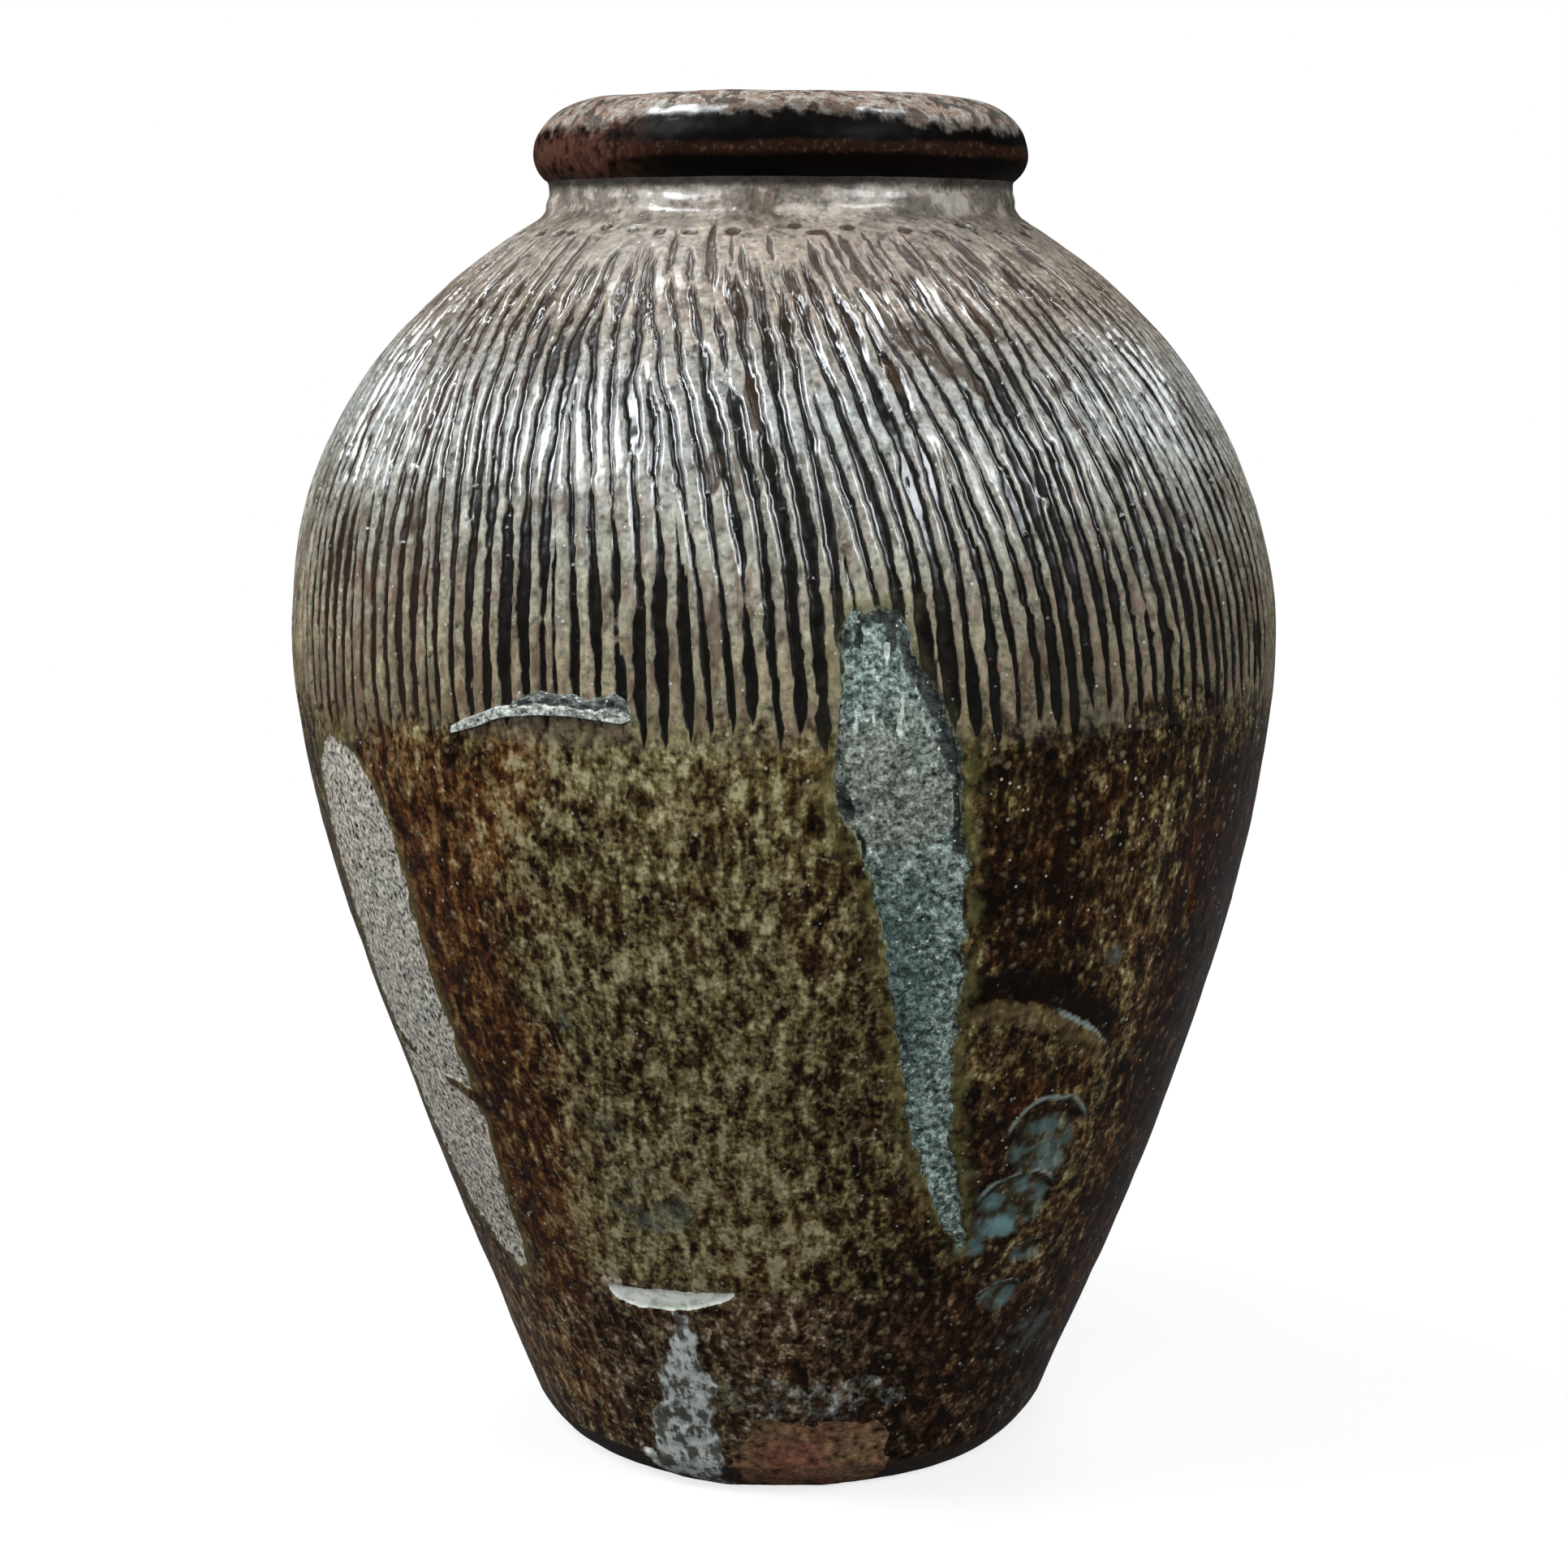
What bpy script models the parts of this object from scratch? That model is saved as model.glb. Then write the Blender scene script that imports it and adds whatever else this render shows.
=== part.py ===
"""A brown-glazed stoneware wine jar, 440 mm tall, put together as a potter builds it.

A base slab carries three wall sections, a neck collar and a rolled rim, each keyed on the
one below by a low tongue.  The top section is combed.  A sliver of another pot and a long patch
of grit stuck to the wall in the kiln.  Metres, +Z up.  The origin is the centre of the
underside, the front is -Y.
"""
import math

import bmesh
import bpy
from mathutils import Vector

# Radii, from the foot up
FOOT_RADIUS = 0.0790
HEEL_OVERHANG = 0.0097
BELLY_RADIUS = 0.1617
SHOULDER_END_OVERHANG = 0.0042
NECK_RADIUS = 0.0749
RIM_OVERHANG = 0.0048
RIM_WIDTH = 0.0267
CREST_INSET = 0.0222
ROLL_ROUND = 0.0097

# Heights, each one measured from the level below it
HEEL_HEIGHT = 0.0100
BELLY_RISE = 0.2577
SHOULDER_RISE = 0.1343
NECK_RISE = 0.0080
ROLL_LIFT = 0.0125
CREST_RISE = 0.0175
ROLL_DROP = 0.0105

# How much radius the wall gains, or the shoulder loses, for each metre of height
WALL_LEAN = 0.39
SHOULDER_LEAN = 1.70

# Where the wall's curves bend, as shares of the rise that each one spans
WALL_START_SHARE = 0.37
WALL_END_SHARE = 0.25
SHOULDER_START_SHARE = 0.11
SHOULDER_END_SHARE = 0.36
HEEL_CORNER_SHARE = 0.36

# Walls, floor and the inside of the mouth
WALL = 0.0100
FLOOR = 0.0140
LIP_DROP = 0.0060
BORE_DEPTH = 0.0140

# Seams between the luted sections, and the tongues that key them
FOOT_SEAM_RISE = 0.0690
COMB_SEAM_DROP = 0.0117
NECK_SEAM_DROP = 0.0040
WALL_TONGUE = 0.0040
NECK_TONGUE = 0.0025
CLEARANCE = 0.0003
OVERRUN = 0.0020

# Main grooves of the combing, scored down the shoulder
GROOVE_PITCH = 0.0230
GROOVE_DEPTH = 0.0016
COMB_START_RISE = 0.0060
COMB_END_DROP = 0.0160

# Sliver of another pot, stuck under the combing
SHARD_WIDTH = 0.0570
SHARD_HEIGHT = 0.0150
SHARD_THICKNESS = 0.0045
SHARD_DROP = 0.0035
SHARD_ANGLE = math.radians(-26.0)

# Patch of kiln grit, lying in a shallow scar
SCAR_WIDTH = 0.0480
SCAR_LENGTH = 0.2050
SCAR_DEPTH = 0.0025
GRIT_THICKNESS = 0.0018
SCAR_DROP = 0.0732
SCAR_ANGLE = math.radians(14.0)

# How finely the turned shapes are cut
STEPS = 64
GROOVE_COLUMNS = 3
CURVE_POINTS = 120
HEEL_ROWS = 5
FOOT_ROWS = 4
LOWER_ROWS = 8
SHOULDER_ROWS = 11
COLLAR_ROWS = 5
ROLL_ROWS = 6
LIP_ROWS = 3
SCAR_ROWS = 10
SHARD_ROWS = 3

# Outlines as shares of a piece's width and height from its centre, anticlockwise
SHARD_OUTLINE_SHARES = (
    (-0.50, -0.46), (-0.30, -0.20), (-0.13, 0.00), (0.20, -0.04), (0.50, 0.03),
    (0.53, 0.14), (0.52, 0.46), (0.45, 0.54), (0.36, 0.40), (0.26, 0.50),
    (0.12, 0.54), (-0.01, 0.43), (-0.09, 0.26), (-0.24, 0.04), (-0.40, -0.13),
    (-0.53, -0.36),
)
SCAR_OUTLINE_SHARES = (
    (0.50, -0.50), (0.49, -0.46), (0.42, -0.40), (0.34, -0.31), (0.32, -0.19),
    (0.30, -0.06), (0.28, 0.10), (0.26, 0.22), (0.22, 0.29), (0.15, 0.34),
    (0.04, 0.39), (-0.10, 0.44), (-0.13, 0.50), (-0.26, 0.46), (-0.35, 0.50),
    (-0.46, 0.43), (-0.51, 0.35), (-0.54, 0.30), (-0.53, 0.23), (-0.44, 0.17),
    (-0.28, 0.09), (-0.14, -0.05), (-0.04, -0.15), (0.02, -0.24), (0.12, -0.31),
    (0.26, -0.38), (0.44, -0.46),
)

HEEL_RADIUS = FOOT_RADIUS + HEEL_OVERHANG
SHOULDER_END_RADIUS = NECK_RADIUS + SHOULDER_END_OVERHANG
RIM_RADIUS = NECK_RADIUS + RIM_OVERHANG
CREST_RADIUS = RIM_RADIUS - CREST_INSET
MOUTH_RADIUS = RIM_RADIUS - RIM_WIDTH

BELLY_HEIGHT = HEEL_HEIGHT + BELLY_RISE
SHOULDER_END_HEIGHT = BELLY_HEIGHT + SHOULDER_RISE
NECK_HEIGHT = SHOULDER_END_HEIGHT + NECK_RISE
ROLL_HEIGHT = NECK_HEIGHT + ROLL_LIFT
CREST_HEIGHT = ROLL_HEIGHT + CREST_RISE

CREASE_SHARE = (ROLL_ROUND - RIM_OVERHANG) / ROLL_ROUND
CREASE_HEIGHT = ROLL_HEIGHT - ROLL_DROP * math.sqrt(1 - CREASE_SHARE**2)

FOOT_SEAM = HEEL_HEIGHT + FOOT_SEAM_RISE
COMB_SEAM = BELLY_HEIGHT - COMB_SEAM_DROP
NECK_SEAM = SHOULDER_END_HEIGHT - NECK_SEAM_DROP
RIM_SEAM = CREASE_HEIGHT

GROOVES = round(2 * math.pi * BELLY_RADIUS / GROOVE_PITCH)
COMB_STEPS = GROOVES * GROOVE_COLUMNS
COMB_BOTTOM = COMB_SEAM + COMB_START_RISE
COMB_TOP = SHOULDER_END_HEIGHT - COMB_END_DROP

SHARD_LEVEL = BELLY_HEIGHT - SHARD_DROP
SCAR_LEVEL = BELLY_HEIGHT - SCAR_DROP


def bezier(points, count):
    """Points along the Bezier curve with these three or four control points."""
    order = len(points) - 1
    curve = []
    for step in range(count + 1):
        t = step / count
        weights = [math.comb(order, k) * t**k * (1 - t) ** (order - k) for k in range(order + 1)]
        curve.append(sum((Vector(p) * w for p, w in zip(points, weights)), Vector((0, 0))))
    return curve


def quarter(centre, width, height, start, end, rows):
    """An arc of an ellipse between two angles, in degrees from the outward direction."""
    arc = []
    for row in range(rows + 1):
        angle = math.radians(start + (end - start) * row / rows)
        arc.append(Vector((centre[0] + width * math.cos(angle), centre[1] + height * math.sin(angle))))
    return arc


def heel_curve(rows):
    """The rounded edge of the foot, from the underside up to the wall."""
    corner = FOOT_RADIUS + HEEL_OVERHANG * HEEL_CORNER_SHARE
    return bezier([(FOOT_RADIUS, 0), (corner, 0), (HEEL_RADIUS, HEEL_HEIGHT)], rows)


def wall_curve():
    """The outside of the jar from the heel up to the narrowest line of the neck."""
    start = WALL_START_SHARE * BELLY_RISE
    end = WALL_END_SHARE * BELLY_RISE
    lower = bezier([
        (HEEL_RADIUS, HEEL_HEIGHT),
        (HEEL_RADIUS + WALL_LEAN * start, HEEL_HEIGHT + start),
        (BELLY_RADIUS, BELLY_HEIGHT - end),
        (BELLY_RADIUS, BELLY_HEIGHT),
    ], CURVE_POINTS)
    start = SHOULDER_START_SHARE * SHOULDER_RISE
    end = SHOULDER_END_SHARE * SHOULDER_RISE
    shoulder = bezier([
        (BELLY_RADIUS, BELLY_HEIGHT),
        (BELLY_RADIUS, BELLY_HEIGHT + start),
        (SHOULDER_END_RADIUS + SHOULDER_LEAN * end, SHOULDER_END_HEIGHT - end),
        (SHOULDER_END_RADIUS, SHOULDER_END_HEIGHT),
    ], CURVE_POINTS)
    bend = SHOULDER_END_HEIGHT + SHOULDER_END_OVERHANG / SHOULDER_LEAN
    neck = bezier([
        (SHOULDER_END_RADIUS, SHOULDER_END_HEIGHT), (NECK_RADIUS, bend), (NECK_RADIUS, NECK_HEIGHT),
    ], CURVE_POINTS)
    return lower + shoulder[1:] + neck[1:]


def shifted(curve, distance):
    """A copy of a rising outline moved outwards, square to itself."""
    moved = []
    for index, point in enumerate(curve):
        along = curve[min(index + 1, len(curve) - 1)] - curve[max(index - 1, 0)]
        moved.append(point + Vector((along.y, -along.x)).normalized() * distance)
    return moved


def at_height(curve, height):
    """The point of a rising outline at a height, kept to the outline's ends."""
    for low, high in zip(curve, curve[1:]):
        if low.y <= height <= high.y:
            share = (height - low.y) / (high.y - low.y)
            return Vector((low.x + (high.x - low.x) * share, height))
    nearest = curve[0] if height < curve[0].y else curve[-1]
    return Vector((nearest.x, height))


def stretch(curve, bottom, top, rows):
    """Evenly spaced points of a rising outline between two heights, from the top down."""
    inside = [point for point in curve if bottom < point.y < top]
    path = [at_height(curve, bottom)] + inside + [at_height(curve, top)]
    lengths = [0.0]
    for low, high in zip(path, path[1:]):
        lengths.append(lengths[-1] + (high - low).length)
    points = []
    place = 0
    for row in range(rows + 1):
        target = lengths[-1] * row / rows
        while place < len(path) - 2 and lengths[place + 1] < target:
            place += 1
        share = (target - lengths[place]) / (lengths[place + 1] - lengths[place])
        points.append(path[place].lerp(path[place + 1], share))
    return points[::-1]


OUTSIDE = wall_curve()


def inner_curve():
    """The inside of the jar, from just above the floor up to the foot of the bore."""
    wall = shifted(OUTSIDE, -WALL)
    bore_foot = Vector((MOUTH_RADIUS, CREST_HEIGHT - LIP_DROP - BORE_DEPTH))
    middle = (wall[-1].y + bore_foot.y) / 2
    throat = bezier([wall[-1], (wall[-1].x, middle), (MOUTH_RADIUS, middle), bore_foot], CURVE_POINTS)
    return wall + throat[1:]


INSIDE = inner_curve()


def key_radius(height):
    """The middle of the wall at a seam, where its tongue begins."""
    return (at_height(OUTSIDE, height).x + at_height(INSIDE, height).x) / 2


def lower_joint(seam, tongue):
    """The end of a section that sits over the tongue below it, from the outside in."""
    ledge = seam + CLEARANCE / 2
    key = key_radius(seam) + CLEARANCE / 2
    return [Vector((key, ledge)), Vector((key, ledge + tongue))]


def upper_joint(seam, tongue):
    """The end of a section with its tongue standing up, from the inside out."""
    ledge = seam - CLEARANCE / 2
    key = key_radius(seam) - CLEARANCE / 2
    return [Vector((key, ledge + tongue)), Vector((key, ledge))]


def section(bottom, bottom_tongue, top, top_tongue, rows):
    """The closed cross-section of a wall ring between two seams."""
    gap = CLEARANCE / 2
    outer = stretch(OUTSIDE, bottom + gap, top - gap, rows)
    inner = stretch(INSIDE, bottom + gap + bottom_tongue, top - gap + top_tongue, rows - 1)
    return outer + lower_joint(bottom, bottom_tongue) + inner[::-1] + upper_joint(top, top_tongue)


def collection(name):
    """A new collection under the scene's own."""
    made = bpy.data.collections.new(name)
    bpy.context.scene.collection.children.link(made)
    return made


def material(name, colour, roughness):
    """A plain glazed or bare clay finish."""
    made = bpy.data.materials.new(name)
    made.use_nodes = True
    shader = made.node_tree.nodes["Principled BSDF"]
    shader.inputs["Base Color"].default_value = (*colour, 1.0)
    shader.inputs["Roughness"].default_value = roughness
    shader.inputs["Metallic"].default_value = 0.0
    return made


def turned(name, profile, home, closed=True, steps=STEPS):
    """A ring or a disc, its cross-section spun round the jar's axis."""
    mesh = bpy.data.meshes.new(name)
    points = [(point.x, 0, point.y) for point in profile]
    edges = [(k, k + 1) for k in range(len(points) - 1)]
    if closed:
        edges.append((len(points) - 1, 0))
    mesh.from_pydata(points, edges, [])
    piece = bpy.data.objects.new(name, mesh)
    home.objects.link(piece)
    spin = piece.modifiers.new("spin", "SCREW")
    spin.steps = steps
    spin.render_steps = steps
    spin.use_smooth_shade = True
    spin.use_merge_vertices = True
    spin.merge_threshold = CLEARANCE / 10
    return piece


def band(name, inner_shift, outer_shift, bottom, top, rows, home, steps=STEPS):
    """A thin ring that follows the jar's outside between two heights."""
    rising = stretch(OUTSIDE, bottom, top, rows)[::-1]
    outer = shifted(rising, outer_shift)[::-1]
    inner = shifted(rising, inner_shift)
    return turned(name, outer + inner, home, steps=steps)


def inset(outline, distance):
    """An anticlockwise outline drawn in by a distance."""
    drawn = []
    count = len(outline)
    for index, point in enumerate(outline):
        before = (point - outline[index - 1]).normalized()
        after = (outline[(index + 1) % count] - point).normalized()
        inward = Vector((-before.y - after.y, before.x + after.x)).normalized()
        half = max(inward.dot(Vector((-before.y, before.x))), math.cos(math.radians(60)))
        drawn.append(point + inward * distance / half)
    return drawn


def stamp(name, outline, height, angle, home):
    """A flat outline made thick, standing out from the jar's axis through the wall."""
    curve = bpy.data.curves.new(name, "CURVE")
    curve.dimensions = "2D"
    curve.fill_mode = "BOTH"
    curve.extrude = BELLY_RADIUS / 2
    spline = curve.splines.new("POLY")
    spline.points.add(len(outline) - 1)
    for point, place in zip(spline.points, outline):
        point.co = (place.x, place.y, 0, 1)
    spline.use_cyclic_u = True
    drawing = bpy.data.objects.new(name + "_outline", curve)
    home.objects.link(drawing)
    bpy.context.view_layer.update()
    mesh = bpy.data.meshes.new_from_object(drawing.evaluated_get(bpy.context.evaluated_depsgraph_get()))
    bpy.data.objects.remove(drawing)
    weld = bmesh.new()
    weld.from_mesh(mesh)
    bmesh.ops.remove_doubles(weld, verts=weld.verts, dist=CLEARANCE / 10)
    weld.to_mesh(mesh)
    weld.free()
    block = bpy.data.objects.new(name, mesh)
    home.objects.link(block)
    block.rotation_euler = (math.pi / 2, 0, angle)
    reach = BELLY_RADIUS
    block.location = (reach * math.sin(angle), -reach * math.cos(angle), height)
    return block


def combine(piece, cutter, operation):
    """Cut a piece with another, or keep only what they share."""
    cut = piece.modifiers.new(operation.lower(), "BOOLEAN")
    cut.operation = operation
    cut.solver = "EXACT"
    cut.object = cutter


def as_cutter(piece):
    """Mark a shape as a guide that isn't part of the jar."""
    piece.hide_render = True
    piece.display_type = "WIRE"


def scaled(shares, width, height):
    """An outline in metres from its shares."""
    return [Vector((across * width, up * height)) for across, up in shares]


def base_slab(home):
    """The disc that the jar is built on: a flat underside, a round heel and a raised floor."""
    ledge = HEEL_HEIGHT - CLEARANCE / 2
    key = key_radius(HEEL_HEIGHT) - CLEARANCE / 2
    heel = heel_curve(HEEL_ROWS)
    shoulder = [Vector((0, FLOOR)), Vector((key, FLOOR)), Vector((key, ledge))]
    edge = [Vector((heel[-1].x, ledge))] + heel[-2::-1]
    return turned("base_slab", shoulder + edge + [Vector((0, 0))], home, closed=False)


def foot_wall(home):
    """The lowest wall ring, over the raised floor of the slab."""
    profile = section(HEEL_HEIGHT, FLOOR - HEEL_HEIGHT, FOOT_SEAM, WALL_TONGUE, FOOT_ROWS)
    return turned("foot_wall", profile, home)


def lower_wall(home):
    """The tall flaring wall below the combing."""
    profile = section(FOOT_SEAM, WALL_TONGUE, COMB_SEAM, WALL_TONGUE, LOWER_ROWS)
    return turned("lower_wall", profile, home)


def scored(ring):
    """Press every groove of the comb into the outside of a ring, and fade it out at both ends."""
    graph = bpy.context.evaluated_depsgraph_get()
    ring.data = bpy.data.meshes.new_from_object(ring.evaluated_get(graph))
    ring.modifiers.clear()
    normals = [vertex.normal.copy() for vertex in ring.data.vertices]
    for vertex, normal in zip(ring.data.vertices, normals):
        place = vertex.co
        outside = normal.xy.dot(place.xy) > 0
        column = round(math.atan2(place.y, place.x) * COMB_STEPS / (2 * math.pi)) % GROOVE_COLUMNS
        if outside and COMB_BOTTOM < place.z < COMB_TOP and column == GROOVE_COLUMNS // 2:
            vertex.co = place - normal * GROOVE_DEPTH
    return ring


def combed_shoulder(home):
    """The belly and the shoulder, which carry the combing."""
    profile = section(COMB_SEAM, WALL_TONGUE, NECK_SEAM, NECK_TONGUE, SHOULDER_ROWS)
    return scored(turned("combed_shoulder", profile, home, steps=COMB_STEPS))


def neck_collar(home):
    """The short ring between the shoulder and the rolled rim."""
    profile = section(NECK_SEAM, NECK_TONGUE, RIM_SEAM, NECK_TONGUE, COLLAR_ROWS)
    return turned("neck_collar", profile, home)


def rolled_rim(home):
    """The thick lip, rolled outwards, with the mouth through it."""
    bottom = RIM_SEAM + CLEARANCE / 2
    curl = math.degrees(math.asin((ROLL_HEIGHT - bottom) / ROLL_DROP))
    over = quarter((CREST_RADIUS, ROLL_HEIGHT), CREST_INSET, CREST_RISE, 90, 0, ROLL_ROWS)
    under_centre = (RIM_RADIUS - ROLL_ROUND, ROLL_HEIGHT)
    under = quarter(under_centre, ROLL_ROUND, ROLL_DROP, 0, -curl, ROLL_ROWS // 2)
    bore_top = CREST_HEIGHT - LIP_DROP
    throat = stretch(INSIDE, bottom + NECK_TONGUE, bore_top - BORE_DEPTH, LIP_ROWS)[::-1]
    lip = quarter((CREST_RADIUS, bore_top), CREST_RADIUS - MOUTH_RADIUS, LIP_DROP, 180, 90, LIP_ROWS)
    profile = over + under[1:] + lower_joint(RIM_SEAM, NECK_TONGUE) + throat + lip[:-1]
    return turned("rolled_rim", profile, home)


def kiln_shard(home, guides):
    """A sliver of another pot, lying on the wall just under the belly."""
    piece = band("kiln_shard", CLEARANCE, CLEARANCE + SHARD_THICKNESS, SHARD_LEVEL - SHARD_HEIGHT,
                 SHARD_LEVEL + SHARD_HEIGHT, SHARD_ROWS, home, steps=COMB_STEPS)
    outline = scaled(SHARD_OUTLINE_SHARES, SHARD_WIDTH, SHARD_HEIGHT)
    form = stamp("shard_form", outline, SHARD_LEVEL, SHARD_ANGLE, guides)
    as_cutter(form)
    combine(piece, form, "INTERSECT")
    return piece


def scar_band(name, inner_shift, outer_shift, home):
    """A thin ring over the height of the scar."""
    reach = SCAR_LENGTH / 2 + OVERRUN
    return band(name, inner_shift, outer_shift, SCAR_LEVEL - reach, SCAR_LEVEL + reach, SCAR_ROWS, home)


def scar_recess(guides):
    """The shape that the scar takes out of the wall."""
    outline = scaled(SCAR_OUTLINE_SHARES, SCAR_WIDTH, SCAR_LENGTH)
    recess = scar_band("scar_recess", -SCAR_DEPTH, OVERRUN, guides)
    form = stamp("scar_form", outline, SCAR_LEVEL, SCAR_ANGLE, guides)
    as_cutter(form)
    as_cutter(recess)
    combine(recess, form, "INTERSECT")
    return recess


def scar_grit(home, guides):
    """The crust of kiln grit fused into the scar, a little below the glaze."""
    seat = CLEARANCE - SCAR_DEPTH
    outline = inset(scaled(SCAR_OUTLINE_SHARES, SCAR_WIDTH, SCAR_LENGTH), CLEARANCE)
    piece = scar_band("scar_grit", seat, seat + GRIT_THICKNESS, home)
    form = stamp("grit_form", outline, SCAR_LEVEL, SCAR_ANGLE, guides)
    as_cutter(form)
    combine(piece, form, "INTERSECT")
    return piece


def finish(piece, name, colour, roughness):
    """Give a piece its own material."""
    piece.data.materials.append(material(name, colour, roughness))


def build():
    """Put the whole jar together."""
    for old in list(bpy.data.objects):
        bpy.data.objects.remove(old)
    home = collection("wine_jar")
    guides = collection("wine_jar_cutters")
    recess = scar_recess(guides)
    lower = lower_wall(home)
    shoulder = combed_shoulder(home)
    combine(lower, recess, "DIFFERENCE")
    combine(shoulder, recess, "DIFFERENCE")
    finish(base_slab(home), "bare_clay_slab", (0.17, 0.09, 0.05), 0.75)
    finish(foot_wall(home), "dark_glaze_foot", (0.035, 0.02, 0.012), 0.30)
    finish(lower, "speckled_brown_glaze", (0.07, 0.045, 0.022), 0.28)
    finish(shoulder, "combed_taupe_glaze", (0.16, 0.12, 0.09), 0.30)
    finish(neck_collar(home), "neck_taupe_glaze", (0.20, 0.15, 0.12), 0.35)
    finish(rolled_rim(home), "dark_rim_glaze", (0.04, 0.022, 0.016), 0.22)
    finish(kiln_shard(home, guides), "grey_shard", (0.28, 0.28, 0.26), 0.80)
    finish(scar_grit(home, guides), "kiln_grit", (0.22, 0.22, 0.20), 0.85)


build()
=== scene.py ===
import math

import bpy
import numpy as np
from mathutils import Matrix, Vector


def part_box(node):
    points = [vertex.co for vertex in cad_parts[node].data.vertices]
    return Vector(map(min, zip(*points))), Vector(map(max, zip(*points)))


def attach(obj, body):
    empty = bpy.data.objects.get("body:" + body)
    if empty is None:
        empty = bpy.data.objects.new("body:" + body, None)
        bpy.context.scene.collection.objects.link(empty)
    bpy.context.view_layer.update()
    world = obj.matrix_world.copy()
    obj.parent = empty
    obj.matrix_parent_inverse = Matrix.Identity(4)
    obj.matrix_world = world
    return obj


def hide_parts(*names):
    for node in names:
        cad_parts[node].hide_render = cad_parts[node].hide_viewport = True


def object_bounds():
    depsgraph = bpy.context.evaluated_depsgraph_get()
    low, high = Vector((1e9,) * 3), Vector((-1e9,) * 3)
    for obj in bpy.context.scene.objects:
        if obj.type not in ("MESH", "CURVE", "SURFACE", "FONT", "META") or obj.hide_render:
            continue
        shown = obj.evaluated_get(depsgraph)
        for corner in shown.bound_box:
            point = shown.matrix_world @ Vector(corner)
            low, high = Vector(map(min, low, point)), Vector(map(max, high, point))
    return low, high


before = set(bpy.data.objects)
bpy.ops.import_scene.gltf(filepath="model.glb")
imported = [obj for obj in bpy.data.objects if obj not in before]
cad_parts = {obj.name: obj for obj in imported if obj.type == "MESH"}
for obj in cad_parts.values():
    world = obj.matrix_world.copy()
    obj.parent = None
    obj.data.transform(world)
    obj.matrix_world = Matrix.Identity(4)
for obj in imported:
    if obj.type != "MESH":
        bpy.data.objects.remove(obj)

CAD_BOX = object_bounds()
MM = 0.001

# The jar's outside and walls in millimetres, as the frame has them
FOOT_RADIUS = 79.0
HEEL_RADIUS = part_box("base_slab")[1].x / MM
HEEL_HEIGHT = 10.0
BELLY_RADIUS = CAD_BOX[1].x / MM
BELLY_HEIGHT = 267.7
SHOULDER_END_RADIUS = 79.1
SHOULDER_END_HEIGHT = 402.0
NECK_RADIUS = 74.9
NECK_HEIGHT = 410.0
RIM_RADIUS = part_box("rolled_rim")[1].x / MM
ROLL_HEIGHT = 422.5
ROLL_ROUND = 9.7
ROLL_DROP = 10.5
CREST_RADIUS = RIM_RADIUS - 22.2
CREST_HEIGHT = CAD_BOX[1].z / MM
MOUTH_RADIUS = 53.0
LIP_DROP = 6.0
BORE_DEPTH = 14.0
WALL = 10.0
FLOOR = 14.0
CURVE_POINTS = 160
CAP_RADIUS = 18.0

# The curves of the outline: how their ends lean, and how far their ends reach as shares of the rise
WALL_LEAN = 0.39
WALL_START_SHARE = 0.37
WALL_END_SHARE = 0.25
SHOULDER_LEAN = 1.70
SHOULDER_START_SHARE = 0.11
SHOULDER_END_SHARE = 0.36
HEEL_CORNER_SHARE = 0.36

# Seams between the luted sections
FOOT_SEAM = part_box("lower_wall")[0].z / MM
COMB_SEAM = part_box("combed_shoulder")[0].z / MM
NECK_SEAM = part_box("neck_collar")[0].z / MM
RIM_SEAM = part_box("rolled_rim")[0].z / MM
BORDER_SEAM = COMB_SEAM - 20.0
BEAD_HEIGHT = 407.6

# Combing: strokes of a seven-toothed comb, and the short dashes over them
COMB_STROKES = 23
COMB_TEETH = 7
TOOTH_PITCH = 6.42
GROOVE_DEPTH = 1.3
DASHES = 240
DASH_DEPTH = 0.8
NICKS = 46

# The left and right edges of the scar and of the bare strip: height, left and right azimuth
SCAR_EDGES = (
    (93, 24.9, 25.2), (97, 23.6, 25.3), (105, 21.0, 24.0), (118, 18.5, 22.6), (130, 16.0, 20.6),
    (145, 14.0, 20.1), (160, 13.0, 19.6), (175, 12.0, 19.5), (190, 10.8, 19.6), (205, 10.0, 19.1),
    (220, 8.8, 18.8), (232, 6.5, 18.6), (243, 5.0, 18.2), (255, 4.6, 17.9), (265, 5.2, 16.6),
    (275, 5.7, 14.6), (284, 5.6, 12.9), (291, 5.8, 12.5), (296, 6.3, 12.3),
)
STRIP_EDGES = (
    (72, -52.0, -49.5), (78, -58.0, -48.6), (90, -64.0, -48.0), (120, -68.5, -47.6), (160, -68.0, -47.8),
    (200, -67.5, -48.2), (222, -66.5, -49.0), (236, -65.0, -51.0), (243, -63.0, -53.5), (247, -60.0, -57.0),
)


def bezier(points, count):
    """Points along the Bezier curve with these three or four control points."""
    t = np.linspace(0, 1, count + 1)[:, None]
    order = len(points) - 1
    return sum(math.comb(order, k) * t**k * (1 - t) ** (order - k) * np.array(p, float)
               for k, p in enumerate(points))


def ellipse_arc(centre, width, height, start, end, count):
    """An arc of an ellipse between two angles in degrees, from the outward direction."""
    angle = np.radians(np.linspace(start, end, count + 1))
    return np.stack([centre[0] + width * np.cos(angle), centre[1] + height * np.sin(angle)], 1)


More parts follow.
